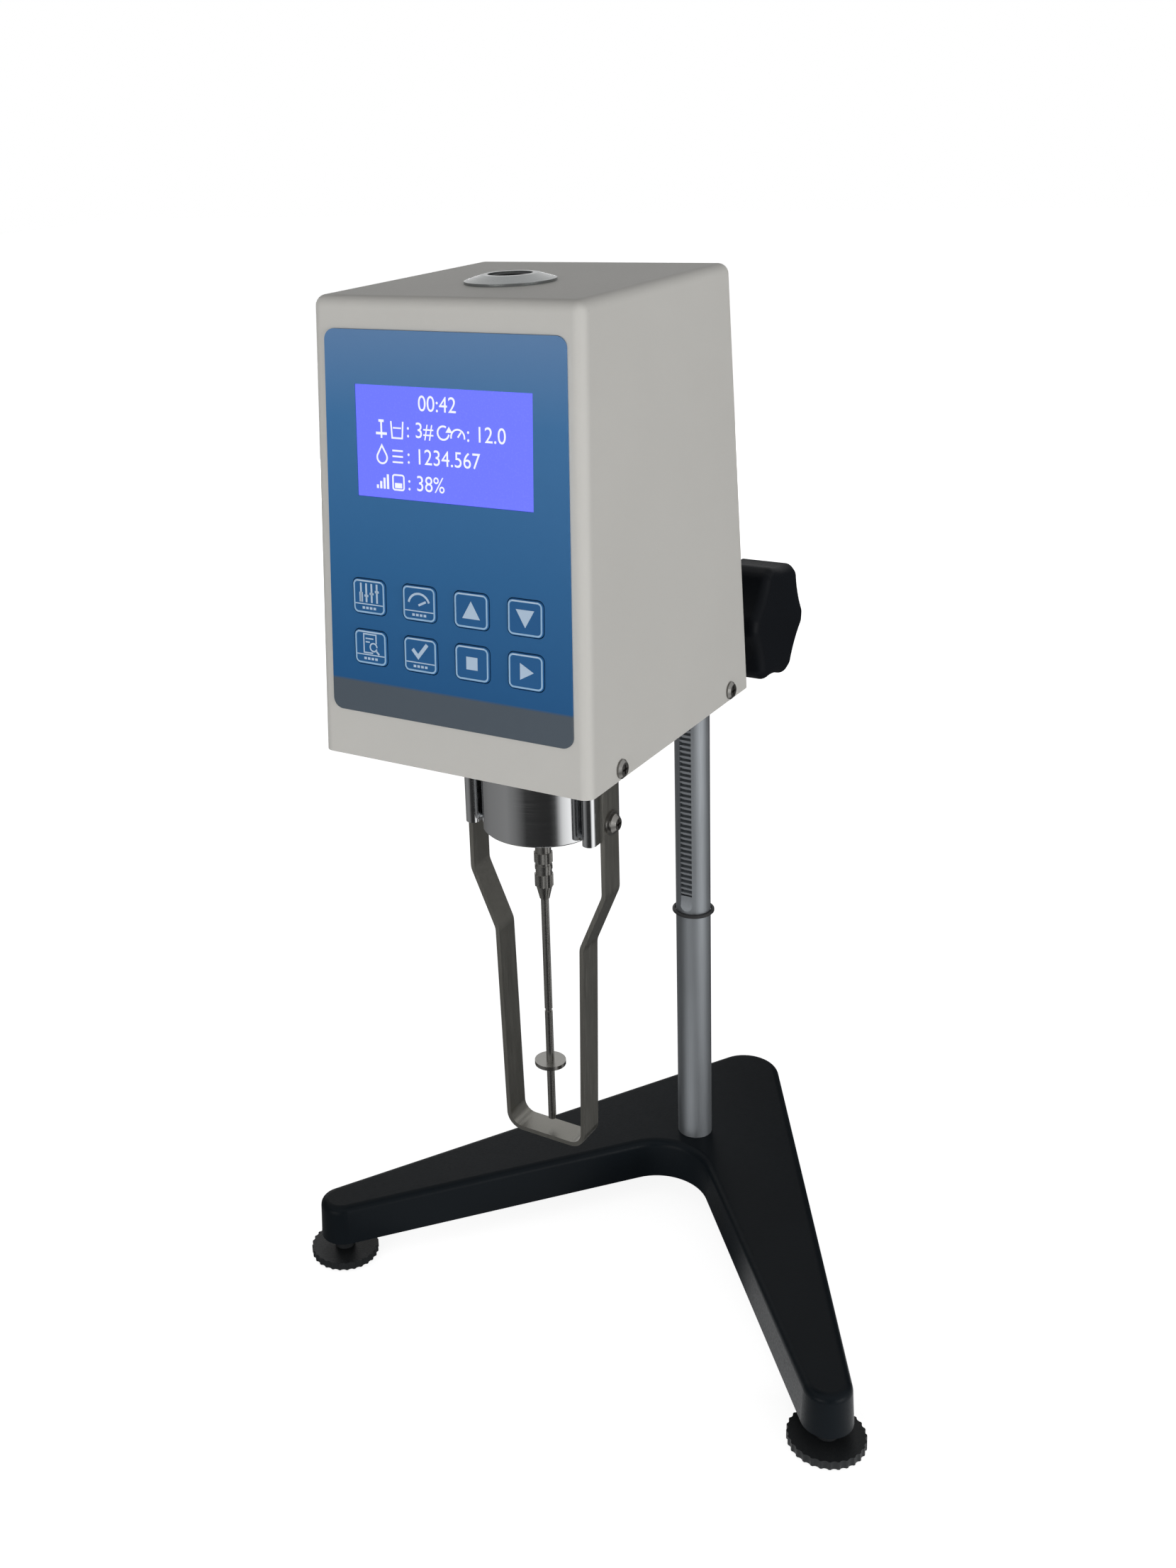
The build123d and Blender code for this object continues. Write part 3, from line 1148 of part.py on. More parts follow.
def make_sensor(disc_z):
    """Slotted light sensor on a post, its jaws round one disc's rim."""
    gap_bottom = disc_z + (ENCODER_THICKNESS - SENSOR_GAP) / 2
    gap_top = gap_bottom + SENSOR_GAP
    reach = ENCODER_RADIUS - ENCODER_SLOT_DEPTH
    half = SENSOR_DEPTH / 2
    inner_x = ENCODER_RADIUS + 2 * PRESS_GAP
    outer_x = SENSOR_X + SENSOR_POST / 2
    jaws = block((reach, outer_x), (-half, half), (gap_bottom - SENSOR_JAW, gap_top + SENSOR_JAW))
    jaws -= block((reach, inner_x), (-half, half), (gap_bottom, gap_top))
    post = block((inner_x, outer_x), (-half, half), (CHASSIS_TOP_Z, gap_top))
    return jaws + post


def make_control_board():
    """Upright board on the chassis with a transformer and two capacitors."""
    face_x = CONTROL_BOARD_X + CONTROL_BOARD_THICKNESS
    half = CONTROL_BOARD_LENGTH / 2
    top = CHASSIS_TOP_Z + CONTROL_BOARD_HEIGHT
    board = block((CONTROL_BOARD_X, face_x), (-half, half), (CHASSIS_TOP_Z, top))
    reach, length, height = TRANSFORMER_SIZE
    transformer_z = (CHASSIS_TOP_Z, CHASSIS_TOP_Z + height)
    board += block((face_x, face_x + reach), (-half, length - half), transformer_z)
    capacitor = rod_x(CAPACITOR_RADIUS, face_x, face_x + CAPACITOR_HEIGHT)
    for y in CAPACITOR_YS:
        board += Pos(0, y, top - CAPACITOR_DROP) * capacitor
    return board


pieces["motor"] = at_spindle * make_motor()
pieces["motor_plate"] = at_spindle * make_motor_plate()
pieces["pillars"] = make_pillars()
pieces["pivot_bearings"] = as_group(
    at_spindle * make_bearing(CUP_BOTTOM_Z), at_spindle * make_bearing(CHASSIS_BOTTOM_Z)
)
pieces["rim_sensors"] = as_group(
    at_spindle * make_sensor(UPPER_DISC_Z), at_spindle * Rot(0, 0, 180) * make_sensor(LOWER_DISC_Z)
)
pieces["control_board"] = at_spindle * make_control_board()


# ------------------------------------------ drive, hairspring, pivot, spindle
def make_slotted_disc(z):
    """Thin disc with one slot in its rim and a hub below."""
    disc = rod_z(ENCODER_RADIUS, z, z + ENCODER_THICKNESS)
    slot = block(
        (ENCODER_RADIUS - ENCODER_SLOT_DEPTH, ENCODER_RADIUS + 1),
        (-ENCODER_SLOT_WIDTH / 2, ENCODER_SLOT_WIDTH / 2),
        (z, z + ENCODER_THICKNESS),
    )
    return disc - slot


def make_upper_disc():
    """Disc and hub on the motor shaft."""
    hub_top = UPPER_DISC_Z + ENCODER_THICKNESS + ENCODER_HUB_HEIGHT
    disc = make_slotted_disc(UPPER_DISC_Z) + rod_z(ENCODER_HUB_RADIUS, UPPER_DISC_Z, hub_top)
    return disc - rod_z(MOTOR_SHAFT_RADIUS + SEAT_GAP / 2, UPPER_DISC_Z, hub_top)


def make_hairspring():
    """Flat spiral spring hung from the upper disc by a post."""
    growth = (SPRING_OUTER_RADIUS - SPRING_INNER_RADIUS) / (2 * pi * SPRING_TURNS)
    steps = SPRING_STEPS * SPRING_TURNS

    def spiral(offset_radius):
        angles = [2 * pi * SPRING_TURNS * step / steps for step in range(steps + 1)]
        radii = [SPRING_INNER_RADIUS + growth * angle + offset_radius for angle in angles]
        return [(radius * cos(angle), radius * sin(angle)) for radius, angle in zip(radii, angles)]

    outline = spiral(SPRING_THICKNESS / 2) + spiral(-SPRING_THICKNESS / 2)[::-1]
    coil = extrude(make_face(Polyline(*outline, close=True)), SPRING_HEIGHT)
    post = rod_z(SPRING_POST_RADIUS, SPRING_Z, UPPER_DISC_Z)
    return Pos(0, 0, SPRING_Z) * coil + Pos(SPRING_OUTER_RADIUS, 0, 0) * post


def make_pivot_shaft():
    """Pivot shaft with the collet that the spring's inner end grips."""
    collet_radius = SPRING_INNER_RADIUS - SPRING_THICKNESS / 2 - PRESS_GAP
    collet = rod_z(collet_radius, SPRING_Z, SPRING_Z + SPRING_HEIGHT)
    return rod_z(PIVOT_RADIUS, NUT_KNURL_TOP_Z, PIVOT_TOP_Z) + collet


def make_lower_disc():
    """Disc and hub on the pivot shaft."""
    bottom = LOWER_DISC_Z - ENCODER_HUB_HEIGHT
    disc = make_slotted_disc(LOWER_DISC_Z)
    disc += rod_z(ENCODER_HUB_RADIUS, bottom, LOWER_DISC_Z + ENCODER_THICKNESS)
    return disc - rod_z(PIVOT_RADIUS + SEAT_GAP / 2, bottom, LOWER_DISC_Z + ENCODER_THICKNESS)


def make_coupling_nut():
    """Knurled nut on the pivot shaft that takes the spindle's hub."""
    knurl_height = NUT_KNURL_TOP_Z - NUT_KNURL_BOTTOM_Z
    knurl = knurled(KNURL_RADIUS, knurl_height, KNURL_RIDGES, KNURL_CUT)
    nut = Pos(0, 0, NUT_KNURL_BOTTOM_Z) * knurl
    nut += rod_z(NUT_COLLAR_RADIUS, NUT_KNURL_TOP_Z, NUT_COLLAR_TOP_Z)
    nut += rod_z(NUT_NECK_RADIUS, HUB_TOP_Z, NUT_KNURL_BOTTOM_Z)
    return nut - rod_z(PIVOT_RADIUS + SEAT_GAP / 2, NUT_KNURL_TOP_Z, NUT_COLLAR_TOP_Z)


def make_spindle_hub():
    """Knurled, tapered hub that screws up into the coupling nut."""
    hub = turned(
        (0, HUB_TAPER_END_Z),
        (SPINDLE_RADIUS + GROOVE_DEPTH, HUB_TAPER_END_Z),
        (HUB_NECK_RADIUS, HUB_KNURL_BOTTOM_Z),
        (HUB_NECK_RADIUS, HUB_RING_BOTTOM_Z),
        (HUB_RING_RADIUS, HUB_RING_BOTTOM_Z),
        (HUB_RING_RADIUS, HUB_TOP_Z),
        (0, HUB_TOP_Z),
    )
    knurl = knurled(KNURL_RADIUS, HUB_KNURL_TOP_Z - HUB_KNURL_BOTTOM_Z, KNURL_RIDGES, KNURL_CUT)
    hub += Pos(0, 0, HUB_KNURL_BOTTOM_Z) * knurl
    return hub - rod_z(SPINDLE_RADIUS + SEAT_GAP / 2, HUB_TAPER_END_Z, HUB_TAPER_END_Z + SPINDLE_SOCKET)


def make_spindle():
    """Disc spindle: slim shaft, immersion groove and a thin disc."""
    top = HUB_TAPER_END_Z + SPINDLE_SOCKET
    groove_z = SPINDLE_TIP_Z + GROOVE_ABOVE_TIP
    disc_z = SPINDLE_TIP_Z + DISC_ABOVE_TIP
    waist = SPINDLE_RADIUS - GROOVE_DEPTH
    shaft = turned(
        (0, SPINDLE_TIP_Z),
        (SPINDLE_RADIUS, SPINDLE_TIP_Z),
        (SPINDLE_RADIUS, groove_z - GROOVE_WIDTH / 2),
        (waist, groove_z - GROOVE_WIDTH / 2),
        (waist, groove_z + GROOVE_WIDTH / 2),
        (SPINDLE_RADIUS, groove_z + GROOVE_WIDTH / 2),
        (SPINDLE_RADIUS, top),
        (0, top),
    )
    return shaft + rod_z(DISC_RADIUS, disc_z, disc_z + DISC_THICKNESS)


pieces["motor_shaft"] = at_spindle * rod_z(MOTOR_SHAFT_RADIUS, UPPER_DISC_Z, MOTOR_SHAFT_TOP_Z)
pieces["upper_disc"] = at_spindle * make_upper_disc()
pieces["hairspring"] = at_spindle * make_hairspring()
pieces["pivot_shaft"] = at_spindle * make_pivot_shaft()
pieces["lower_disc"] = at_spindle * make_lower_disc()
pieces["coupling_nut"] = at_spindle * make_coupling_nut()
pieces["spindle_hub"] = at_spindle * make_spindle_hub()
pieces["spindle"] = at_spindle * make_spindle()


# -------------------------------------------------------------------- export
REAR_END_Y = REAR_FOOT_Y + REAR_RADIUS
MIDDLE_Y = (HEAD_FRONT_Y + REAR_END_Y) / 2

for name, shape in pieces.items():
    export_step(Pos(0, -MIDDLE_Y, 0) * shape, f"parts/{name}.step")
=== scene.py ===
# %% [markdown]
# # A bench rotational viscometer
# The instrument hangs a small disc spindle in a beaker and turns it slowly.
# All its solids come from the CAD model, in metres, already in their places.
# This script dresses them: camera, light, finishes, printed graphics and a few
# fine pieces that ride on the CAD bodies.

# %% Load the model and keep its box
from math import atan2, cos, degrees, pi, radians, sin

import bmesh
import bpy
from mathutils import Matrix, Vector


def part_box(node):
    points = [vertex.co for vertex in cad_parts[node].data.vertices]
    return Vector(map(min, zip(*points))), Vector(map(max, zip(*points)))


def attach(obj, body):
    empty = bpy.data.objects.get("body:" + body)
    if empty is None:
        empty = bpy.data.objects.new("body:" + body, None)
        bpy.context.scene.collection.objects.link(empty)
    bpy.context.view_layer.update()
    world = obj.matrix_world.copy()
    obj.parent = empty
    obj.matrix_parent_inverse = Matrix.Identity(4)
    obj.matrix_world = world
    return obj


MM = 1 / 1000  # the scene is in metres

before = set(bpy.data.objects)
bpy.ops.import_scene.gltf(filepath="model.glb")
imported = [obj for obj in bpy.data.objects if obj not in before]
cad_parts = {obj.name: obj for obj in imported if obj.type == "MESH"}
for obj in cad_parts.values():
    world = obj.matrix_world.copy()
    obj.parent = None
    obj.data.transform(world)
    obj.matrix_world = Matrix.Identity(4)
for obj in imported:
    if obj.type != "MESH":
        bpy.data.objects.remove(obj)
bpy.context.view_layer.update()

# %% [markdown]
# ## Small helpers
# Making an object and joining shader sockets come back all through the script,
# so each has a short function here.


# %% Objects, materials and shader links
def put(name, data):
    """Make an object from its data and stand it in the scene."""
    item = bpy.data.objects.new(name, data)
    bpy.context.scene.collection.objects.link(item)
    return item


def new_material(name):
    """A material with nodes, given with its tree and its Principled shader."""
    material = bpy.data.materials.new(name)
    material.use_nodes = True
    tree = material.node_tree
    return material, tree, tree.nodes["Principled BSDF"]


def link_nodes(tree, *pairs):
    """Join sockets given as (from socket, to socket)."""
    for source, target in pairs:
        tree.links.new(source, target)


def any_ray(tree, *kinds):
    """One for rays of the named kinds and nothing for the rest."""
    path = tree.nodes.new("ShaderNodeLightPath")
    total = path.outputs[kinds[0]]
    for kind in kinds[1:]:
        either = tree.nodes.new("ShaderNodeMath")
        either.operation = "ADD"
        either.use_clamp = True
        link_nodes(tree, (total, either.inputs[0]), (path.outputs[kind], either.inputs[1]))
        total = either.outputs[0]
    return total


# %% [markdown]
# ## Camera
# A product picture from the front right, a little above the head. The camera
# is placed by three directions at right angles to each other: where it looks,
# its right and its up. The shift slides the frame without turning the view, so
# uprights keep their lean while the instrument sits left of the middle.

# %% Camera
PIXELS_WIDE, PIXELS_HIGH = 1659, 2212
FOCAL_PIXELS = 2443.07  # focal length, in pixels of the frame
AXIS_PIXEL = (566.0, 866.4)  # where the camera points, across and down the frame
SENSOR = 36  # mm, along the frame's height
CAMERA_PLACE = (0.3206, -0.6143, 0.5190)
YAW, PITCH, ROLL = 0.617, 0.290, -0.058  # radians

looking = Vector((-sin(YAW) * cos(PITCH), cos(YAW) * cos(PITCH), -sin(PITCH)))
level_right = Vector((cos(YAW), sin(YAW), 0))
level_up = level_right.cross(looking)
right = level_right * cos(ROLL) + level_up * sin(ROLL)
up = level_up * cos(ROLL) - level_right * sin(ROLL)

camera_data = bpy.data.cameras.new("product_camera")
camera_data.lens = FOCAL_PIXELS / PIXELS_HIGH * SENSOR
camera_data.sensor_width = SENSOR
camera_data.shift_x = (PIXELS_WIDE / 2 - AXIS_PIXEL[0]) / PIXELS_HIGH
camera_data.shift_y = (AXIS_PIXEL[1] - PIXELS_HIGH / 2) / PIXELS_HIGH
camera = put("product_camera", camera_data)
turn = Matrix((right, up, -looking)).transposed().to_4x4()
camera.matrix_world = Matrix.Translation(CAMERA_PLACE) @ turn
bpy.context.scene.camera = camera
bpy.context.scene.view_settings.view_transform = "Standard"
print("camera lens", round(camera_data.lens, 2), "mm")

# %% [markdown]
# ## Floor and light
# The setting is a white sweep with soft light from the front and the sides, and
# little from above, so the housing's top is its darkest painted face. The world
# is white for what the camera and the metal see, and a dim grey for what lights
# the paint. Large area lamps do the rest.

# %% World, floor and lamps
WORLD_GREY = 0.24  # what lights the paint
LAMP_SIZE = (1.2, 0.44)
LAMP_AIM = (0, 0, 0.23)  # half the instrument's height
LAMPS = (  # name, place, watts
    ("front_softbox", (-0.15, -2.0, 0.23), 15),
    ("side_softbox", (1.9, -0.4, 0.23), 16),
    ("back_softbox", (-1.3, 1.4, 0.23), 12),
)
FLOOR_REACH = 6.0
PAPER_GREY = 0.8
PAPER_GLOW = 0.82  # lifts the floor to white where it is looked at


def studio_world(grey):
    """White to the camera, to metal and through glass, grey as a light."""
    world = bpy.data.worlds.new("white_studio")
    bpy.context.scene.world = world
    world.use_nodes = True
    tree = world.node_tree
    seen = tree.nodes["Background"]
    seen.inputs["Color"].default_value = (1, 1, 1, 1)
    lighting = tree.nodes.new("ShaderNodeBackground")
    lighting.inputs["Color"].default_value = (grey, grey, grey, 1)
    mix = tree.nodes.new("ShaderNodeMixShader")
    link_nodes(
        tree,
        (any_ray(tree, "Is Camera Ray", "Is Glossy Ray", "Is Transmission Ray"), mix.inputs["Fac"]),
        (lighting.outputs[0], mix.inputs[1]),
        (seen.outputs[0], mix.inputs[2]),
        (mix.outputs[0], tree.nodes["World Output"].inputs["Surface"]),
    )


def area_lamp(name, place, aim, size, power):
    """Rectangular lamp that faces a point."""
    data = bpy.data.lights.new(name, "AREA")
    data.shape = "RECTANGLE"
    data.size, data.size_y = size
    data.energy = power
    lamp = put(name, data)
    lamp.location = place
    lamp.rotation_euler = (Vector(aim) - Vector(place)).to_track_quat("-Z", "Y").to_euler()


def make_floor():
    """White floor that the camera sees as paper, with a faint shadow."""
    far = FLOOR_REACH
    mesh = bpy.data.meshes.new("floor")
    corners = [(-far, -far, 0), (far, -far, 0), (far, far, 0), (-far, far, 0)]
    mesh.from_pydata(corners, [], [(0, 1, 2, 3)])
    floor = put("floor", mesh)
    paper, tree, shader = new_material("white_paper")
    shader.inputs["Base Color"].default_value = (PAPER_GREY, PAPER_GREY, PAPER_GREY, 1)
    shader.inputs["Roughness"].default_value = 0.9
    shader.inputs["Specular IOR Level"].default_value = 0.1
    glow = tree.nodes.new("ShaderNodeEmission")
    glow.inputs["Strength"].default_value = PAPER_GLOW
    add = tree.nodes.new("ShaderNodeAddShader")
    mix = tree.nodes.new("ShaderNodeMixShader")
    link_nodes(
        tree,
        (shader.outputs[0], add.inputs[0]),
        (glow.outputs[0], add.inputs[1]),
        (any_ray(tree, "Is Camera Ray", "Is Glossy Ray"), mix.inputs["Fac"]),
        (shader.outputs[0], mix.inputs[1]),
        (add.outputs[0], mix.inputs[2]),
        (mix.outputs[0], tree.nodes["Material Output"].inputs["Surface"]),
    )
    mesh.materials.append(paper)


studio_world(WORLD_GREY)
for name, place, watts in LAMPS:
    area_lamp(name, place, LAMP_AIM, LAMP_SIZE, watts)
make_floor()

# %% [markdown]
# ## A shaded wall for the metal
# Polished metal shows what stands round it, and in an all-white room a cup of
# steel turns white. Studios stand grey and black cards round such a piece, so it
# shows dark and bright bands that melt into each other. Here they are one round
# wall with a floor, shaded by the bearing, that only reflections can see: the
# camera, the light on the paint and the shadows all pass through it.

# %% Shaded wall
cup_low, cup_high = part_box("cup_housing")
WALL_CENTRE = ((cup_low[0] + cup_high[0]) / 2, (cup_low[1] + cup_high[1]) / 2)
WALL_INNER, WALL_OUTER, WALL_HEIGHT = 0.08, 0.60, 0.42
WALL_FLOOR = 0.001  # just over the white floor
WALL_STEP = 3  # degrees between its corners
camera_side = (camera.location.x - WALL_CENTRE[0], camera.location.y - WALL_CENTRE[1])
CAMERA_BEARING = degrees(atan2(camera_side[1], camera_side[0]))
TONES = (  # degrees to the right of the camera's bearing, shade
    (-180, 0.30),
    (-150, 0.14),
    (-120, 0.20),
    (-70, 0.24),
    (-52, 0.17),
    (-30, 0.03),
    (16, 0.025),
    (26, 0.07),
    (38, 0.75),
    (62, 1.20),
    (88, 0.95),
    (106, 0.16),
    (130, 0.03),
    (150, 0.10),
    (180, 0.30),
)


def tone_at(bearing):
    """Shade of the wall at a bearing, between the two nearest tones."""
    for (low, low_shade), (high, high_shade) in zip(TONES, TONES[1:]):
        if bearing <= high:
            return low_shade + (high_shade - low_shade) * (bearing - low) / (high - low)


def wall_mesh():
    """The wall's section swept round the cup, with its shade in a colour layer."""
    section = ((WALL_INNER, WALL_FLOOR), (WALL_OUTER, WALL_FLOOR), (WALL_OUTER, WALL_HEIGHT))
    corners, shades, faces = [], [], []
    for bearing in range(-180, 181, WALL_STEP):
        angle = radians(CAMERA_BEARING + bearing)
        for reach, height in section:
            across = WALL_CENTRE[0] + reach * cos(angle)
            along = WALL_CENTRE[1] + reach * sin(angle)
            corners.append((across, along, height))
            shades.append(tone_at(bearing))
    for here in range(0, len(corners) - 3, 3):
        for low in (here, here + 1):
            faces.append((low, low + 3, low + 4, low + 1))
    mesh = bpy.data.meshes.new("reflection_wall")
    mesh.from_pydata(corners, [], faces)
    layer = mesh.color_attributes.new("tone", "FLOAT_COLOR", "POINT")
    for item, shade in zip(layer.data, shades):
        item.color = (shade, shade, shade, 1)
    return mesh


def stand_wall():
    """A wall that glows with its own shade and is seen by reflections alone."""
    mesh = wall_mesh()
    material, tree, shader = new_material("wall_tone")
    shader.inputs["Base Color"].default_value = (0, 0, 0, 1)
    shader.inputs["Specular IOR Level"].default_value = 0
    shader.inputs["Emission Strength"].default_value = 1
    painted = tree.nodes.new("ShaderNodeVertexColor")
    painted.layer_name = "tone"
    tree.links.new(painted.outputs["Color"], shader.inputs["Emission Color"])
    material.cycles.emission_sampling = "NONE"
    mesh.materials.append(material)
    wall = put("reflection_wall", mesh)
    wall.visible_camera = False
    wall.visible_diffuse = False
    wall.visible_transmission = False
    wall.visible_shadow = False
    print("wall of", len(mesh.polygons), "faces")


stand_wall()

# %% [markdown]
# ## Finishes
# Every finish is one Principled shader with a small texture in it. Paint has a
# faint orange peel, cast enamel is a little uneven, drawn and ground steel has
# fine lines along the way it was worked, and moulded plastic has a soft grain.
# The textures use object coordinates, which are metres here, so a scale of 900
# means features of about a millimetre.

# %% Helpers for finishes
BROAD_GRAIN = 22.0  # slow drift of the colour, in patches of a few centimetres
RELIEF_DEPTH = 0.0004
RAMP_LOW, RAMP_HIGH = 0.3, 0.7  # the middle part of the noise is used


def texture_place(tree, stretch=(1, 1, 1)):
    """Object coordinates, squeezed or stretched along each axis."""
    place = tree.nodes.new("ShaderNodeTexCoord")
    scale = tree.nodes.new("ShaderNodeMapping")
    scale.inputs["Scale"].default_value = stretch
    tree.links.new(place.outputs["Object"], scale.inputs["Vector"])
    return scale.outputs["Vector"]


def noise(tree, vector, scale, detail=3.0):
    """Cloudy grey values between nothing and one."""
    texture = tree.nodes.new("ShaderNodeTexNoise")
    texture.inputs["Scale"].default_value = scale
    texture.inputs["Detail"].default_value = detail
    tree.links.new(vector, texture.inputs["Vector"])
    return texture.outputs["Fac"]


def ramp(tree, value, stops):
    """Colour ramp with (position, colour or grey) stops."""
    node = tree.nodes.new("ShaderNodeValToRGB")
    elements = node.color_ramp.elements
    while len(elements) < len(stops):
        elements.new(0.5)
    for element, (position, shade) in zip(elements, stops):
        element.position = position
        rgb = shade if isinstance(shade, tuple) else (shade, shade, shade)
        element.color = (*rgb, 1)
    tree.links.new(value, node.inputs["Fac"])
    return node.outputs["Color"]


def finish(
    name,
    colour,
    roughness,
    metallic=0.0,
    grain=900,
    stretch=(1, 1, 1),
    bump=0.05,
    spread=0.04,
    wear=0.06,
    gloss=0.5,
):
    """A worked surface: colour and roughness drift a little, with a fine relief."""
    material, tree, shader = new_material(name)
    shader.inputs["Metallic"].default_value = metallic
    shader.inputs["Specular IOR Level"].default_value = gloss
    fine = noise(tree, texture_place(tree, stretch), grain)
    broad = noise(tree, texture_place(tree), BROAD_GRAIN, 2.0)
    darker = tuple(channel * (1 - spread) for channel in colour)
    lighter = tuple(min(1.0, channel * (1 + spread)) for channel in colour)
    smooth, rough = max(0.02, roughness - wear), roughness + wear
    relief = tree.nodes.new("ShaderNodeBump")
    relief.inputs["Strength"].default_value = bump
    relief.inputs["Distance"].default_value = RELIEF_DEPTH
    drift = ramp(tree, broad, [(RAMP_LOW, darker), (RAMP_HIGH, lighter)])
    polish = ramp(tree, fine, [(RAMP_LOW, smooth), (RAMP_HIGH, rough)])
    link_nodes(
        tree,
        (drift, shader.inputs["Base Color"]),
        (polish, shader.inputs["Roughness"]),
        (fine, relief.inputs["Height"]),
        (relief.outputs["Normal"], shader.inputs["Normal"]),
    )
    return material


def dress(material, *node_names):
    """Give CAD nodes their finish."""
    for node_name in node_names:
        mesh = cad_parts[node_name].data
        mesh.materials.clear()
        mesh.materials.append(material)


# %% [markdown]
# ## Painted and moulded surfaces
# The housing is sprayed a warm light grey. The base is cast, filled and
# enamelled black. The knob and the feet are moulded and duller.

# %% Paint, enamel, plastic and rubber
cover_paint = finish(
    "cover_paint", (0.60, 0.59, 0.56), 0.5, grain=1500, bump=0.08, spread=0.012, gloss=0.12
)
black_enamel = finish(
    "black_enamel", (0.0065, 0.009, 0.0115), 0.36, grain=1100, bump=0.08, spread=0.12, gloss=0.06
)
clamp_paint = finish(
    "clamp_paint", (0.012, 0.013, 0.014), 0.48, grain=700, bump=0.25, spread=0.15, gloss=0.2
)
knob_black = finish(
    "knob_black", (0.005, 0.006, 0.008), 0.46, grain=1600, bump=0.12, spread=0.12, gloss=0.06
)
foot_black = finish(
    "foot_black", (0.014, 0.0155, 0.017), 0.46, grain=1400, bump=0.15, spread=0.15, gloss=0.2
)
rubber = finish("rubber", (0.012, 0.012, 0.013), 0.62, grain=2200, bump=0.2, spread=0.1)
switch_black = finish("switch_black", (0.014, 0.014, 0.015), 0.3, grain=1800, spread=0.1)
board_green = finish("board_green", (0.015, 0.10, 0.045), 0.4, bump=0.1, spread=0.15)
motor_black = finish("motor_black", (0.03, 0.03, 0.033), 0.4, bump=0.1, spread=0.1)
dress(cover_paint, "housing_cover")
dress(black_enamel, "base_casting")
dress(clamp_paint, "clamp_body")
dress(knob_black, "lift_knob", "rod_lock_knob", "tension_screw")
dress(foot_black, "foot_left", "foot_right", "foot_rear")
dress(rubber, "stop_ring", "level_seal", "foot_pad_left", "foot_pad_right", "foot_pad_rear")
dress(switch_black, "switch_frame", "switch_rocker", "rim_sensors")
dress(board_green, "key_board", "control_board")
dress(motor_black, "motor")

# %% [markdown]
# ## Metals
# Lines left by drawing and grinding run along a bar, and lines left by a lathe
# run round it. A noise drawn out fifty times along one direction gives both:
# drawn out along Z it makes lengthwise grain, and drawn out across it, rings.

# %% Steel, brass and aluminium
LENGTHWISE = (1, 1, 0.02)
RINGS = (0.02, 0.02, 1)
CROSSWISE = (1, 0.02, 1)


def metal(name, colour, roughness, grain, stretch, bump, spread, wear=0.06):
    """A finish that is bare metal, with its lines along `stretch`."""
    return finish(name, colour, roughness, 1.0, grain, stretch, bump, spread, wear)


column_steel = metal("column_steel", (0.245, 0.26, 0.275), 0.55, 2600, LENGTHWISE, 0.06, 0.05)
cup_steel = metal("cup_steel", (0.74, 0.75, 0.76), 0.12, 3000, RINGS, 0.01, 0.01, wear=0.03)
guard_steel = metal("guard_steel", (0.225, 0.22, 0.20), 0.36, 2400, LENGTHWISE, 0.08, 0.10)
spindle_steel = metal("spindle_steel", (0.30, 0.295, 0.28), 0.28, 3000, RINGS, 0.0, 0.03, wear=0.02)
screw_steel = metal("screw_steel", (0.21, 0.205, 0.195), 0.3, 3000, RINGS, 0.02, 0.05, wear=0.03)
bright_steel = metal("bright_steel", (0.50, 0.50, 0.49), 0.26, 3000, RINGS, 0.02, 0.04)
plate_steel = metal("plate_steel", (0.45, 0.45, 0.45), 0.4, 1500, CROSSWISE, 0.08, 0.05)
brass = metal("brass", (0.60, 0.44, 0.17), 0.3, 3000, RINGS, 0.05, 0.06)
aluminium = metal("aluminium", (0.68, 0.69, 0.70), 0.32, 3000, RINGS, 0.05, 0.03)
bezel_chrome = metal("bezel_chrome", (0.21, 0.22, 0.22), 0.26, 3000, RINGS, 0.02, 0.02, wear=0.04)
dress(column_steel, "column")
dress(cup_steel, "cup_housing", "guard_blocks")
dress(guard_steel, "guard")
dress(spindle_steel, "pivot_shaft", "coupling_nut", "spindle_hub", "spindle")
dress(screw_steel, "cover_screws", "guard_screws", "guard_washers")
dress(bright_steel, "pinion_shaft", "head_rod", "motor_shaft", "power_jack", "shaft_clip", "hairspring")
dress(plate_steel, "chassis_plate", "rod_bracket", "motor_plate", "column_nut")
dress(brass, "pinion_bush", "pivot_bearings")
dress(aluminium, "upper_disc", "lower_disc", "pillars")
dress(bezel_chrome, "level_bezel")

# %% [markdown]
# ## Front overlay
# The overlay is one printed film: a blue that deepens downwards and a grey band
# along its foot. Both follow the height on the instrument, so one colour ramp
# over the object's Z holds the whole print, with two stops close together where
# the band meets the blue.

# %% Overlay print
PANEL_LOW, BAND_TOP, PANEL_HIGH = 0.3049, 0.3168, 0.4433  # heights, in metres
BAND_SHARE = (BAND_TOP - PANEL_LOW) / (PANEL_HIGH - PANEL_LOW)
BAND_BLUR = 0.001
OVERLAY_STOPS = [
    (BAND_SHARE - BAND_BLUR, (0.088, 0.110, 0.135)),
    (BAND_SHARE + BAND_BLUR, (0.018, 0.105, 0.270)),
    (0.40, (0.030, 0.140, 0.330)),
    (0.78, (0.055, 0.185, 0.400)),
    (1.0, (0.125, 0.245, 0.450)),
]
FILM_GRAIN = 2600


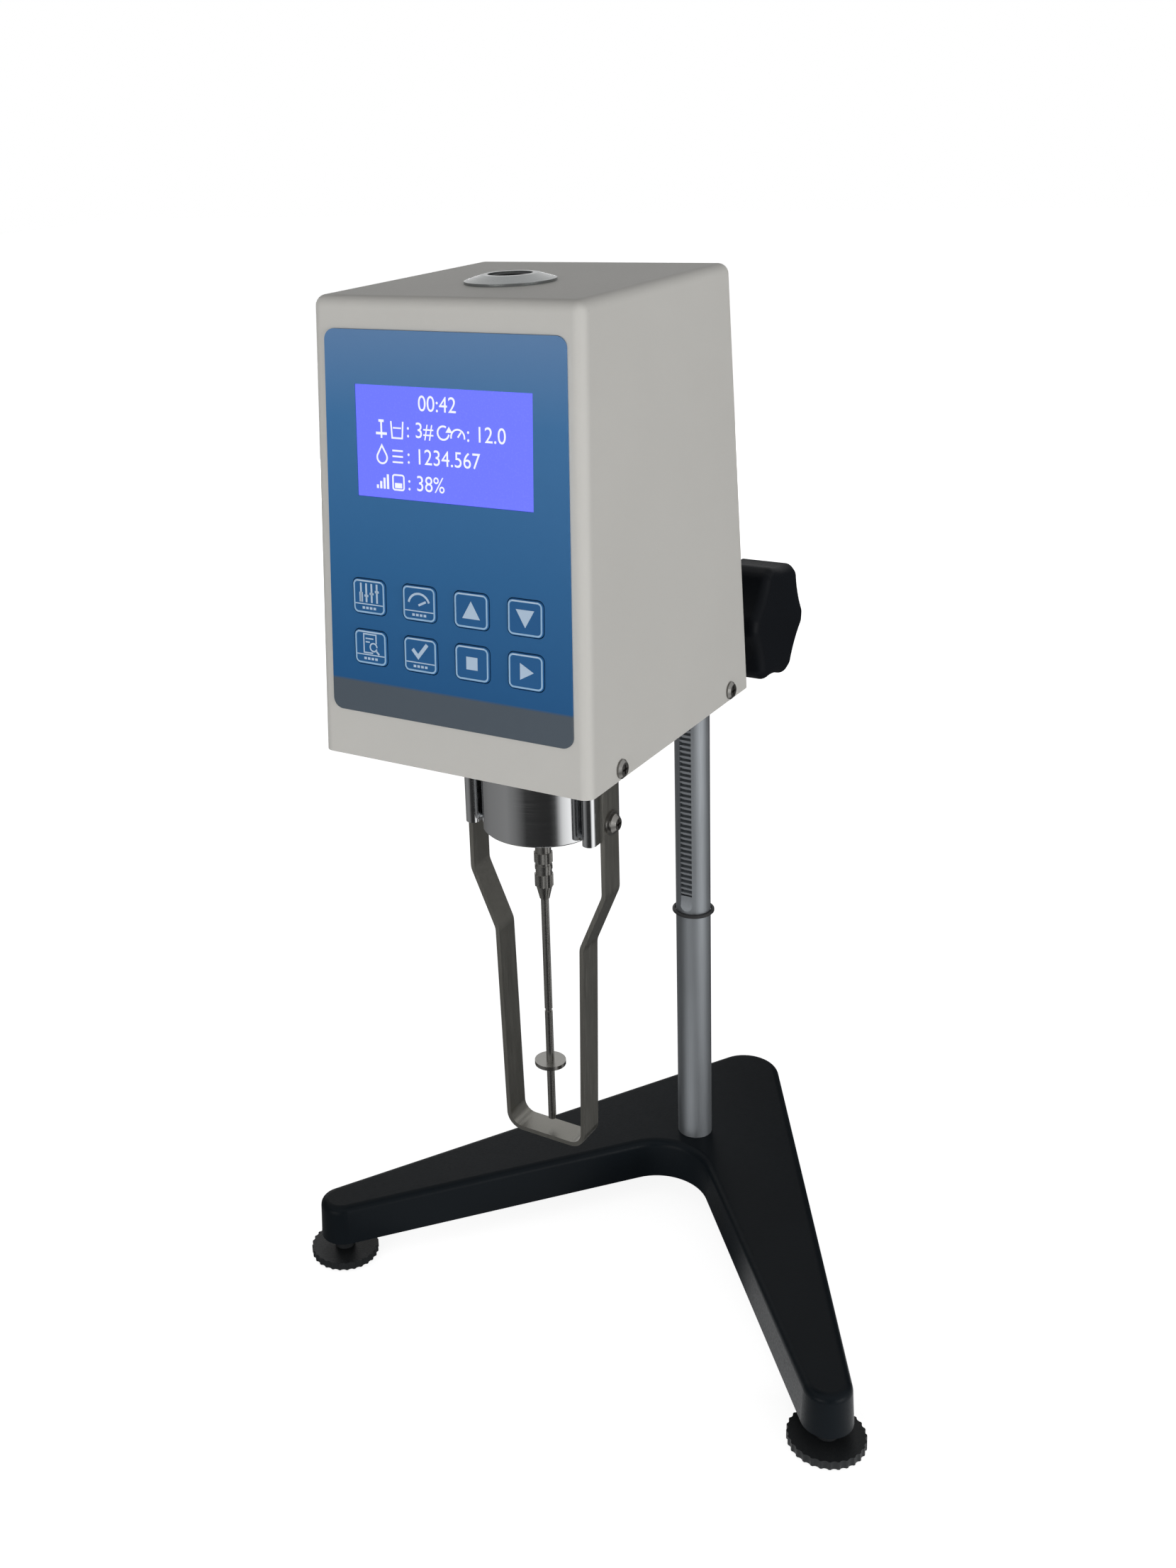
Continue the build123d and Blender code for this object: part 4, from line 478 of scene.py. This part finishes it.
def overlay_print():
    """The film's finish, with its colours laid out by height."""
    material = finish("overlay_print", (0.05, 0.15, 0.35), 0.42, grain=FILM_GRAIN, gloss=0.1)
    tree = material.node_tree
    shader = tree.nodes["Principled BSDF"]
    split = tree.nodes.new("ShaderNodeSeparateXYZ")
    height = tree.nodes.new("ShaderNodeMapRange")
    height.inputs["From Min"].default_value = PANEL_LOW
    height.inputs["From Max"].default_value = PANEL_HIGH
    link_nodes(
        tree,
        (texture_place(tree), split.inputs[0]),
        (split.outputs["Z"], height.inputs["Value"]),
        (ramp(tree, height.outputs["Result"], OVERLAY_STOPS), shader.inputs["Base Color"]),
    )
    return material


KEYS = ("key_rotor", "key_speed", "key_up", "key_down", "key_search", "key_ok", "key_stop", "key_start")
key_blue = finish("key_blue", (0.022, 0.115, 0.295), 0.40, grain=FILM_GRAIN, spread=0.02, gloss=0.1)
dress(overlay_print(), "front_panel")
dress(key_blue, *KEYS)

# %% [markdown]
# ## Display
# A backlit display shows its own light, so its window glows evenly in the blue
# of the backlight and keeps a slight gloss. Its digits are white.

# %% Lit finishes and inks
UNLIT_SHARE = 0.4  # how bright a lit surface's own colour is beside its light


def lit(name, colour, strength, roughness=0.25):
    """A finish that also gives off its colour as light."""
    unlit = tuple(channel * UNLIT_SHARE for channel in colour)
    material = finish(name, unlit, roughness, grain=1500, bump=0.01, gloss=0.2)
    shader = material.node_tree.nodes["Principled BSDF"]
    shader.inputs["Emission Color"].default_value = (*colour, 1)
    shader.inputs["Emission Strength"].default_value = strength
    return material


backlight = lit("backlight", (0.150, 0.180, 0.98), 0.80)
digit_white = lit("digit_white", (0.90, 0.92, 1.0), 0.72)
print_blue = finish("print_blue", (0.30, 0.50, 0.72), 0.4, grain=FILM_GRAIN, bump=0.04, spread=0.03)
print_pale = finish("print_pale", (0.46, 0.60, 0.76), 0.4, grain=FILM_GRAIN, bump=0.04, spread=0.03)
vial_green = finish("vial_green", (0.10, 0.14, 0.03), 0.08, bump=0.0, spread=0.02)
dress(backlight, "display_window", "display_module")
dress(vial_green, "level_vial")

# %% [markdown]
# ## Drawing on the front face
# The front leans back by 2.75 degrees. A point on it is given by its distance
# across, `u`, and up the face, `v`, in millimetres from the middle of the
# housing's lower edge, and `lift` is how far it stands off the cover.

# %% Front face coordinates
LEAN = radians(2.75)
cover_low, cover_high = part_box("housing_cover")
FRONT_FOOT = Vector((0, cover_low[1], cover_low[2]))
FACE_UP = Vector((0, sin(LEAN), cos(LEAN)))
FACE_OUT = Vector((0, -cos(LEAN), sin(LEAN)))


def on_front(u, v, lift):
    """The place in the scene of a point on the front face."""
    return FRONT_FOOT + Vector((u, 0, 0)) * MM + FACE_UP * (v * MM) + FACE_OUT * (lift * MM)


def piece(name, mesh, material, body):
    """A finished mesh as a piece that rides on a body."""
    mesh.materials.clear()
    mesh.materials.append(material)
    item = put(name, mesh)
    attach(item, body)


def drawn_mesh(name, shape):
    """Turn a bmesh into a mesh with its faces outwards, and free it."""
    bmesh.ops.recalc_face_normals(shape, faces=shape.faces)
    mesh = bpy.data.meshes.new(name)
    shape.to_mesh(mesh)
    shape.free()
    return mesh


def flat_print(name, outlines, lift, thickness, material, body):
    """Thin printed shapes from outlines of (u, v) points, riding on a body."""
    shape = bmesh.new()
    for outline in outlines:
        low = [shape.verts.new(on_front(u, v, lift)) for u, v in outline]
        high = [shape.verts.new(on_front(u, v, lift + thickness)) for u, v in outline]
        shape.faces.new(high)
        shape.faces.new(low[::-1])
        for index, corner in enumerate(low):
            after = (index + 1) % len(low)
            shape.faces.new((corner, low[after], high[after], high[index]))
    piece(name, drawn_mesh(name, shape), material, body)


# %% [markdown]
# Lines such as a key's border are strips: each pair of neighbouring points on
# the path, pushed out to both sides by half the line's width, makes one quad.


# %% Lines, arcs and boxes
def strip(path, width, closed=False):
    """Quads that follow a path of (u, v) points, with mitred joints."""
    points = [Vector(point) for point in path]
    count = len(points)
    edges = []
    for index, point in enumerate(points):
        before = points[index - 1] if (index or closed) else None
        after = points[(index + 1) % count] if (index < count - 1 or closed) else None
        into = (point - before).normalized() if before is not None else None
        out = (after - point).normalized() if after is not None else None
        into = into or out
        out = out or into
        along = (into + out).normalized()
        across = Vector((-along.y, along.x))
        mitre = width / 2 / max(0.5, across.dot(Vector((-out.y, out.x))))
        edges.append((point - across * mitre, point + across * mitre))
    quads = []
    for index in range(count if closed else count - 1):
        (a, b), (c, d) = edges[index], edges[(index + 1) % count]
        quads.append([tuple(a), tuple(c), tuple(d), tuple(b)])
    return quads


def rounded_box(u, v, width, height, radius, steps=6):
    """Outline of a box with round corners, from its upper right corner round."""
    points = []
    for corner_u, corner_v, start in ((1, 1, 0), (-1, 1, 90), (-1, -1, 180), (1, -1, 270)):
        centre = (u + corner_u * (width / 2 - radius), v + corner_v * (height / 2 - radius))
        for step in range(steps + 1):
            angle = radians(start + 90 * step / steps)
            points.append((centre[0] + radius * cos(angle), centre[1] + radius * sin(angle)))
    return points


def arc(u, v, radius, start, end, steps=16):
    """Points along a circle, with the angles in degrees."""
    angles = [radians(start + (end - start) * step / steps) for step in range(steps + 1)]
    return [(u + radius * cos(angle), v + radius * sin(angle)) for angle in angles]


def bar(u, v, width, height):
    """Outline of a plain box round its middle."""
    half, tall = width / 2, height / 2
    return [(u - half, v - tall), (u + half, v - tall), (u + half, v + tall), (u - half, v + tall)]


def at(u, v, *points):
    """Points given from a symbol's middle, moved to where the symbol is."""
    return [(u + across, v + rise) for across, rise in points]


# %% [markdown]
# ## Keys
# Each key has a pale rounded border, a painted highlight along its top where the
# embossed film would catch light, and a symbol. Four keys carry a strip under the symbol.
# Sizes inside a symbol are millimetres from the middle of its key.

# %% Key symbols
KEY_TOP = 1.3  # lift of a key's face off the cover
INK = 0.03
KEY_U = (-32.25, -10.75, 10.75, 32.25)
KEY_V = (61.6, 42.8)
KEY_WIDTH, KEY_HEIGHT, KEY_RADIUS, BORDER_WIDTH = 12.7, 11.5, 1.6, 0.62
# size of the painted highlight: a pale strip along the top of each key's face, in place of the light
# that the embossed edge would catch
PAINTED_HIGHLIGHT_WIDTH, PAINTED_HIGHLIGHT_HEIGHT = 10.2, 0.45
KEYS_WITH_STRIP = ("key_rotor", "key_speed", "key_search", "key_ok")
MARK_SHIFTS = (-2.4, -0.8, 0.8, 2.4)  # four plain marks under the strip


def rotor_symbol(u, v):
    """Four spindles side by side, with discs of different heights."""
    shapes = [bar(u - 3.4 + 2.3 * index, v + 1.4, 0.75, 7.0) for index in range(4)]
    shapes += [bar(u - 3.4 + 2.3 * index, v - 0.6 + 0.9 * index, 1.7, 0.8) for index in range(1, 4)]
    return shapes + [bar(u - 3.4, v - 0.3, 1.5, 3.6)]


def speed_symbol(u, v):
    """A dial and its hand."""
    hand = strip(at(u, v, (-0.2, -0.6), (2.9, 0.9)), 0.8)
    return strip(arc(u, v - 0.9, 4.5, 20, 165), 0.8) + hand


def arrow_symbol(u, v, tip):
    """A triangle that points up, or down where `tip` is negative."""
    return [[(u - 3.6, v - tip * 0.85), (u + 3.6, v - tip * 0.85), (u, v + tip)]]


def search_symbol(u, v):
    """A page under a magnifying glass."""
    edge = at(u, v, (1.0, -2.0), (-2.9, -2.0), (-2.9, 4.9), (2.5, 4.9), (2.5, 1.6))
    lens = strip(arc(u + 1.3, v + 0.2, 1.5, 0, 340), 0.55)
    handle = strip(at(u, v, (2.3, -0.9), (3.7, -2.3)), 0.7)
    lines = [bar(u - 0.4, v + 3.3, 3.4, 0.5), bar(u - 1.2, v + 2.0, 1.8, 0.5)]
    return strip(edge, 0.5) + lens + handle + lines


def key_symbol(name, u, v):
    """Outlines of the symbol printed on one key."""
    if name == "key_rotor":
        return rotor_symbol(u, v)
    if name == "key_speed":
        return speed_symbol(u, v)
    if name == "key_up":
        return arrow_symbol(u, v, 3.4)
    if name == "key_down":
        return arrow_symbol(u, v, -3.4)
    if name == "key_search":
        return search_symbol(u, v)
    if name == "key_ok":
        return strip(at(u, v, (-3.2, 2.0), (-0.9, -0.6), (3.0, 4.2)), 1.35)
    if name == "key_stop":
        return [bar(u, v, 4.6, 4.6)]
    return [at(u, v, (-2.2, -3.0), (3.2, 0), (-2.2, 3.0))]


def print_key(name, u, v):
    """The border, symbol and painted highlight of one key."""
    border = strip(rounded_box(u, v, KEY_WIDTH, KEY_HEIGHT, KEY_RADIUS), BORDER_WIDTH, closed=True)
    shapes = key_symbol(name, u, v)
    if name in KEYS_WITH_STRIP:
        shapes.append(bar(u, v - 2.75, 12.0, 0.4))
        shapes += [bar(u + shift, v - 4.15, 1.1, 0.9) for shift in MARK_SHIFTS]
    # the pale strip along the key's top is a painted highlight, printed in the pale ink
    painted_highlight = [bar(u, v + KEY_HEIGHT / 2, PAINTED_HIGHLIGHT_WIDTH, PAINTED_HIGHLIGHT_HEIGHT)]
    flat_print(name + "_border", border, KEY_TOP, INK, print_blue, name)
    flat_print(name + "_symbol", shapes, KEY_TOP, INK, print_pale, name)
    flat_print(name + "_shine", painted_highlight, KEY_TOP + INK, INK, print_pale, name)


for index, name in enumerate(KEYS):
    print_key(name, KEY_U[index % 4], KEY_V[index // 4])
print("printed", len(KEYS), "keys")

# %% [markdown]
# ## Digits on the display
# The display shows a clock line and three readings, each a small pictogram and
# a number. Blender's own font makes the digits: a text object is laid out, read
# back as a mesh, and its points are carried onto the leaning face.

# %% Digits and pictograms
WINDOW_TOP = 0.65  # lift of the window's face off the cover
DISPLAY_INK = 0.03
DIGIT_SIZE = 7.7
DIGIT_SQUEEZE = 0.92  # the display's digits are a little narrow
LINES_V = (131.6, 122.3, 113.2, 103.9)
SIGN_U, SIGN_STEP, COLON_U = -25.0, 6.6, -14.6
SPEED_SIGN_U, SPEED_COLON_U = 0.6, 9.8
READINGS = (  # name, text, left end, line
    ("clock_digits", "00:42", -9.6, 0),
    ("spindle_digits", ": 3#", COLON_U, 1),
    ("speed_digits", ": 12.0", SPEED_COLON_U, 1),
    ("reading_digits", ": 1234.567", COLON_U, 2),
    ("share_digits", ": 38%", COLON_U, 3),
)


def digits(name, text, u, v):
    """A number as flat white mesh, its left end at (u, v) on the front face."""
    line = bpy.data.curves.new(name, "FONT")
    line.body = text
    line.size = DIGIT_SIZE
    line.align_y = "CENTER"
    maker = put(name + "_text", line)
    bpy.context.view_layer.update()
    mesh = bpy.data.meshes.new_from_object(maker)
    bpy.data.objects.remove(maker)
    bpy.data.curves.remove(line)
    for vertex in mesh.vertices:
        across = u + vertex.co.x * DIGIT_SQUEEZE
        vertex.co = on_front(across, v + vertex.co.y, WINDOW_TOP + DISPLAY_INK)
    piece(name, mesh, digit_white, "head")


def pictogram(name, outlines):
    """White signs on the display's window."""
    flat_print(name, outlines, WINDOW_TOP, DISPLAY_INK, digit_white, "head")


for name, text, left_end, line in READINGS:
    digits(name, text, left_end, LINES_V[line])
print("display shows", len(LINES_V), "lines")

# %% [markdown]
# Each reading has two signs beside it, `SIGN_STEP` apart: a spindle and a
# beaker, a turning arrow and a dial, a drop and layers, steps and a gauge.

# %% Pictograms
u, v = SIGN_U, LINES_V[1]
rotor = [bar(u, v, 0.7, 6.4), bar(u, v - 1.6, 4.6, 0.9), bar(u, v + 2.8, 2.2, 0.9)]
u += SIGN_STEP
beaker = strip(at(u, v, (-2.5, 2.9), (-2.1, -2.9), (2.1, -2.9), (2.5, 2.9)), 0.6)
pictogram("spindle_sign", rotor + beaker + [bar(u, v + 0.6, 3.4, 0.5)])

u = SPEED_SIGN_U
turning = strip(arc(u, v, 2.3, 60, 350), 0.65)
arrow_head = at(u, v, (0.9, 0.2), (3.7, 0.2), (2.3, 2.3))
u += SIGN_STEP
dial = strip(arc(u - 0.8, v - 1.2, 2.7, -10, 190), 0.6)
hand = strip(at(u, v, (-0.8, -1.2), (0.5, 0.6)), 0.6)
pictogram("turn_sign", turning + [arrow_head] + dial + hand)

u, v = SIGN_U, LINES_V[2]
drop = arc(u, v - 0.9, 2.1, 150, 390, 20) + [(u, v + 3.3)]
u += SIGN_STEP
layers = [bar(u, v + rise, 4.4, 0.6) for rise in (-2.2, -0.2, 1.8)]
pictogram("drop_sign", strip(drop, 0.65, closed=True) + layers)

u, v = SIGN_U, LINES_V[3]
steps = []
for count in range(1, 5):
    steps.append(bar(u - 3.65 + 1.45 * count, v - 2.6 + 0.65 * count, 0.9, 1.3 * count))
u += SIGN_STEP
gauge = strip(rounded_box(u, v, 4.6, 5.2, 0.8), 0.6, closed=True)
pictogram("share_sign", steps + gauge + [bar(u, v - 1.1, 3.0, 1.8)])
print("signs for", len(LINES_V) - 1, "lines")

# %% [markdown]
# ## Bubble level
# A flat vial of green liquid with one bubble under a ring. The ring is a thin
# torus and the bubble a flattened ball with a bright skin.

# %% Ring and bubble
bezel_low, bezel_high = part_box("level_bezel")
LEVEL = Vector((0, (bezel_low[1] + bezel_high[1]) / 2, cover_high[2]))
VIAL_TOP = 1.6  # above the cover; the sizes here are in millimetres
RING_RADIUS, RING_WIRE, RING_RISE = 2.9, 0.22, 0.05
BUBBLE_RADIUS, BUBBLE_HEIGHT = 2.1, 0.45
BUBBLE_SHIFT = Vector((0.4, -0.3, 0)) * MM  # off the middle, as a level seldom is true


def lathe(name, profile, centre, material, body, turns=64):
    """Turn (radius, height) points in millimetres round an upright axis."""
    shape = bmesh.new()
    rows = []
    for step in range(turns):
        angle = 2 * pi * step / turns
        spoke = Vector((cos(angle), sin(angle), 0))
        places = [centre + spoke * (radius * MM) + Vector((0, 0, rise * MM)) for radius, rise in profile]
        rows.append([shape.verts.new(place) for place in places])
    for step, row in enumerate(rows):
        after = rows[(step + 1) % turns]
        for index in range(len(profile)):
            following = (index + 1) % len(profile)
            shape.faces.new((row[index], after[index], after[following], row[following]))
    bmesh.ops.remove_doubles(shape, verts=shape.verts, dist=1e-7)
    mesh = drawn_mesh(name, shape)
    for polygon in mesh.polygons:
        polygon.use_smooth = True
    piece(name, mesh, material, body)


ring_points = []
for eighth in range(8):
    angle = eighth * pi / 4
    rise = VIAL_TOP + RING_RISE + RING_WIRE * sin(angle)
    ring_points.append((RING_RADIUS + RING_WIRE * cos(angle), rise))
lathe("level_ring", ring_points, LEVEL, switch_black, "head")

dome = []
for sixteenth in range(9):
    angle = sixteenth * pi / 16
    dome.append((BUBBLE_RADIUS * cos(angle), VIAL_TOP + BUBBLE_HEIGHT * sin(angle)))
dome.append((0, VIAL_TOP))
bubble_skin = finish("bubble_skin", (0.55, 0.62, 0.25), 0.06, bump=0.0)
lathe("level_bubble", dome, LEVEL + BUBBLE_SHIFT, bubble_skin, "head")
print("level has a ring and a bubble")

# %% [markdown]
# ## Threads of the feet
# Each foot screws into the casting on a steel stud, and a few turns of its thread
# show between the disc and the leg. A fine sleeve with ridges round the CAD stud
# is enough, because a pitch of 1.25 mm hides the slope of the turns. It stays
# inside the tapped hole's radius, so it runs up and down with the foot.

# %% Foot threads
NECK_RISE = 5.8  # top of the neck above the disc's lower face
THREAD_PITCH, THREAD_TURNS = 1.25, 6
THREAD_CORE, THREAD_ROOT, THREAD_CREST = 3.9, 4.01, 4.05  # radii
THREAD_SIDES = 48
FEET = ("foot_left", "foot_right", "foot_rear")

thread_profile = [(THREAD_CORE, THREAD_PITCH * THREAD_TURNS), (THREAD_CORE, 0)]
for ridge in range(THREAD_TURNS):
    thread_profile.append((THREAD_ROOT, THREAD_PITCH * ridge))
    thread_profile.append((THREAD_CREST, THREAD_PITCH * (ridge + 0.5)))
thread_profile.append((THREAD_ROOT, THREAD_PITCH * THREAD_TURNS))
for foot in FEET:
    low, high = (Vector(corner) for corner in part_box(foot))
    neck_top = Vector(((low.x + high.x) / 2, (low.y + high.y) / 2, low.z + NECK_RISE * MM))
    lathe(foot + "_thread", thread_profile, neck_top, bright_steel, foot, THREAD_SIDES)
print("threaded", len(FEET), "feet")
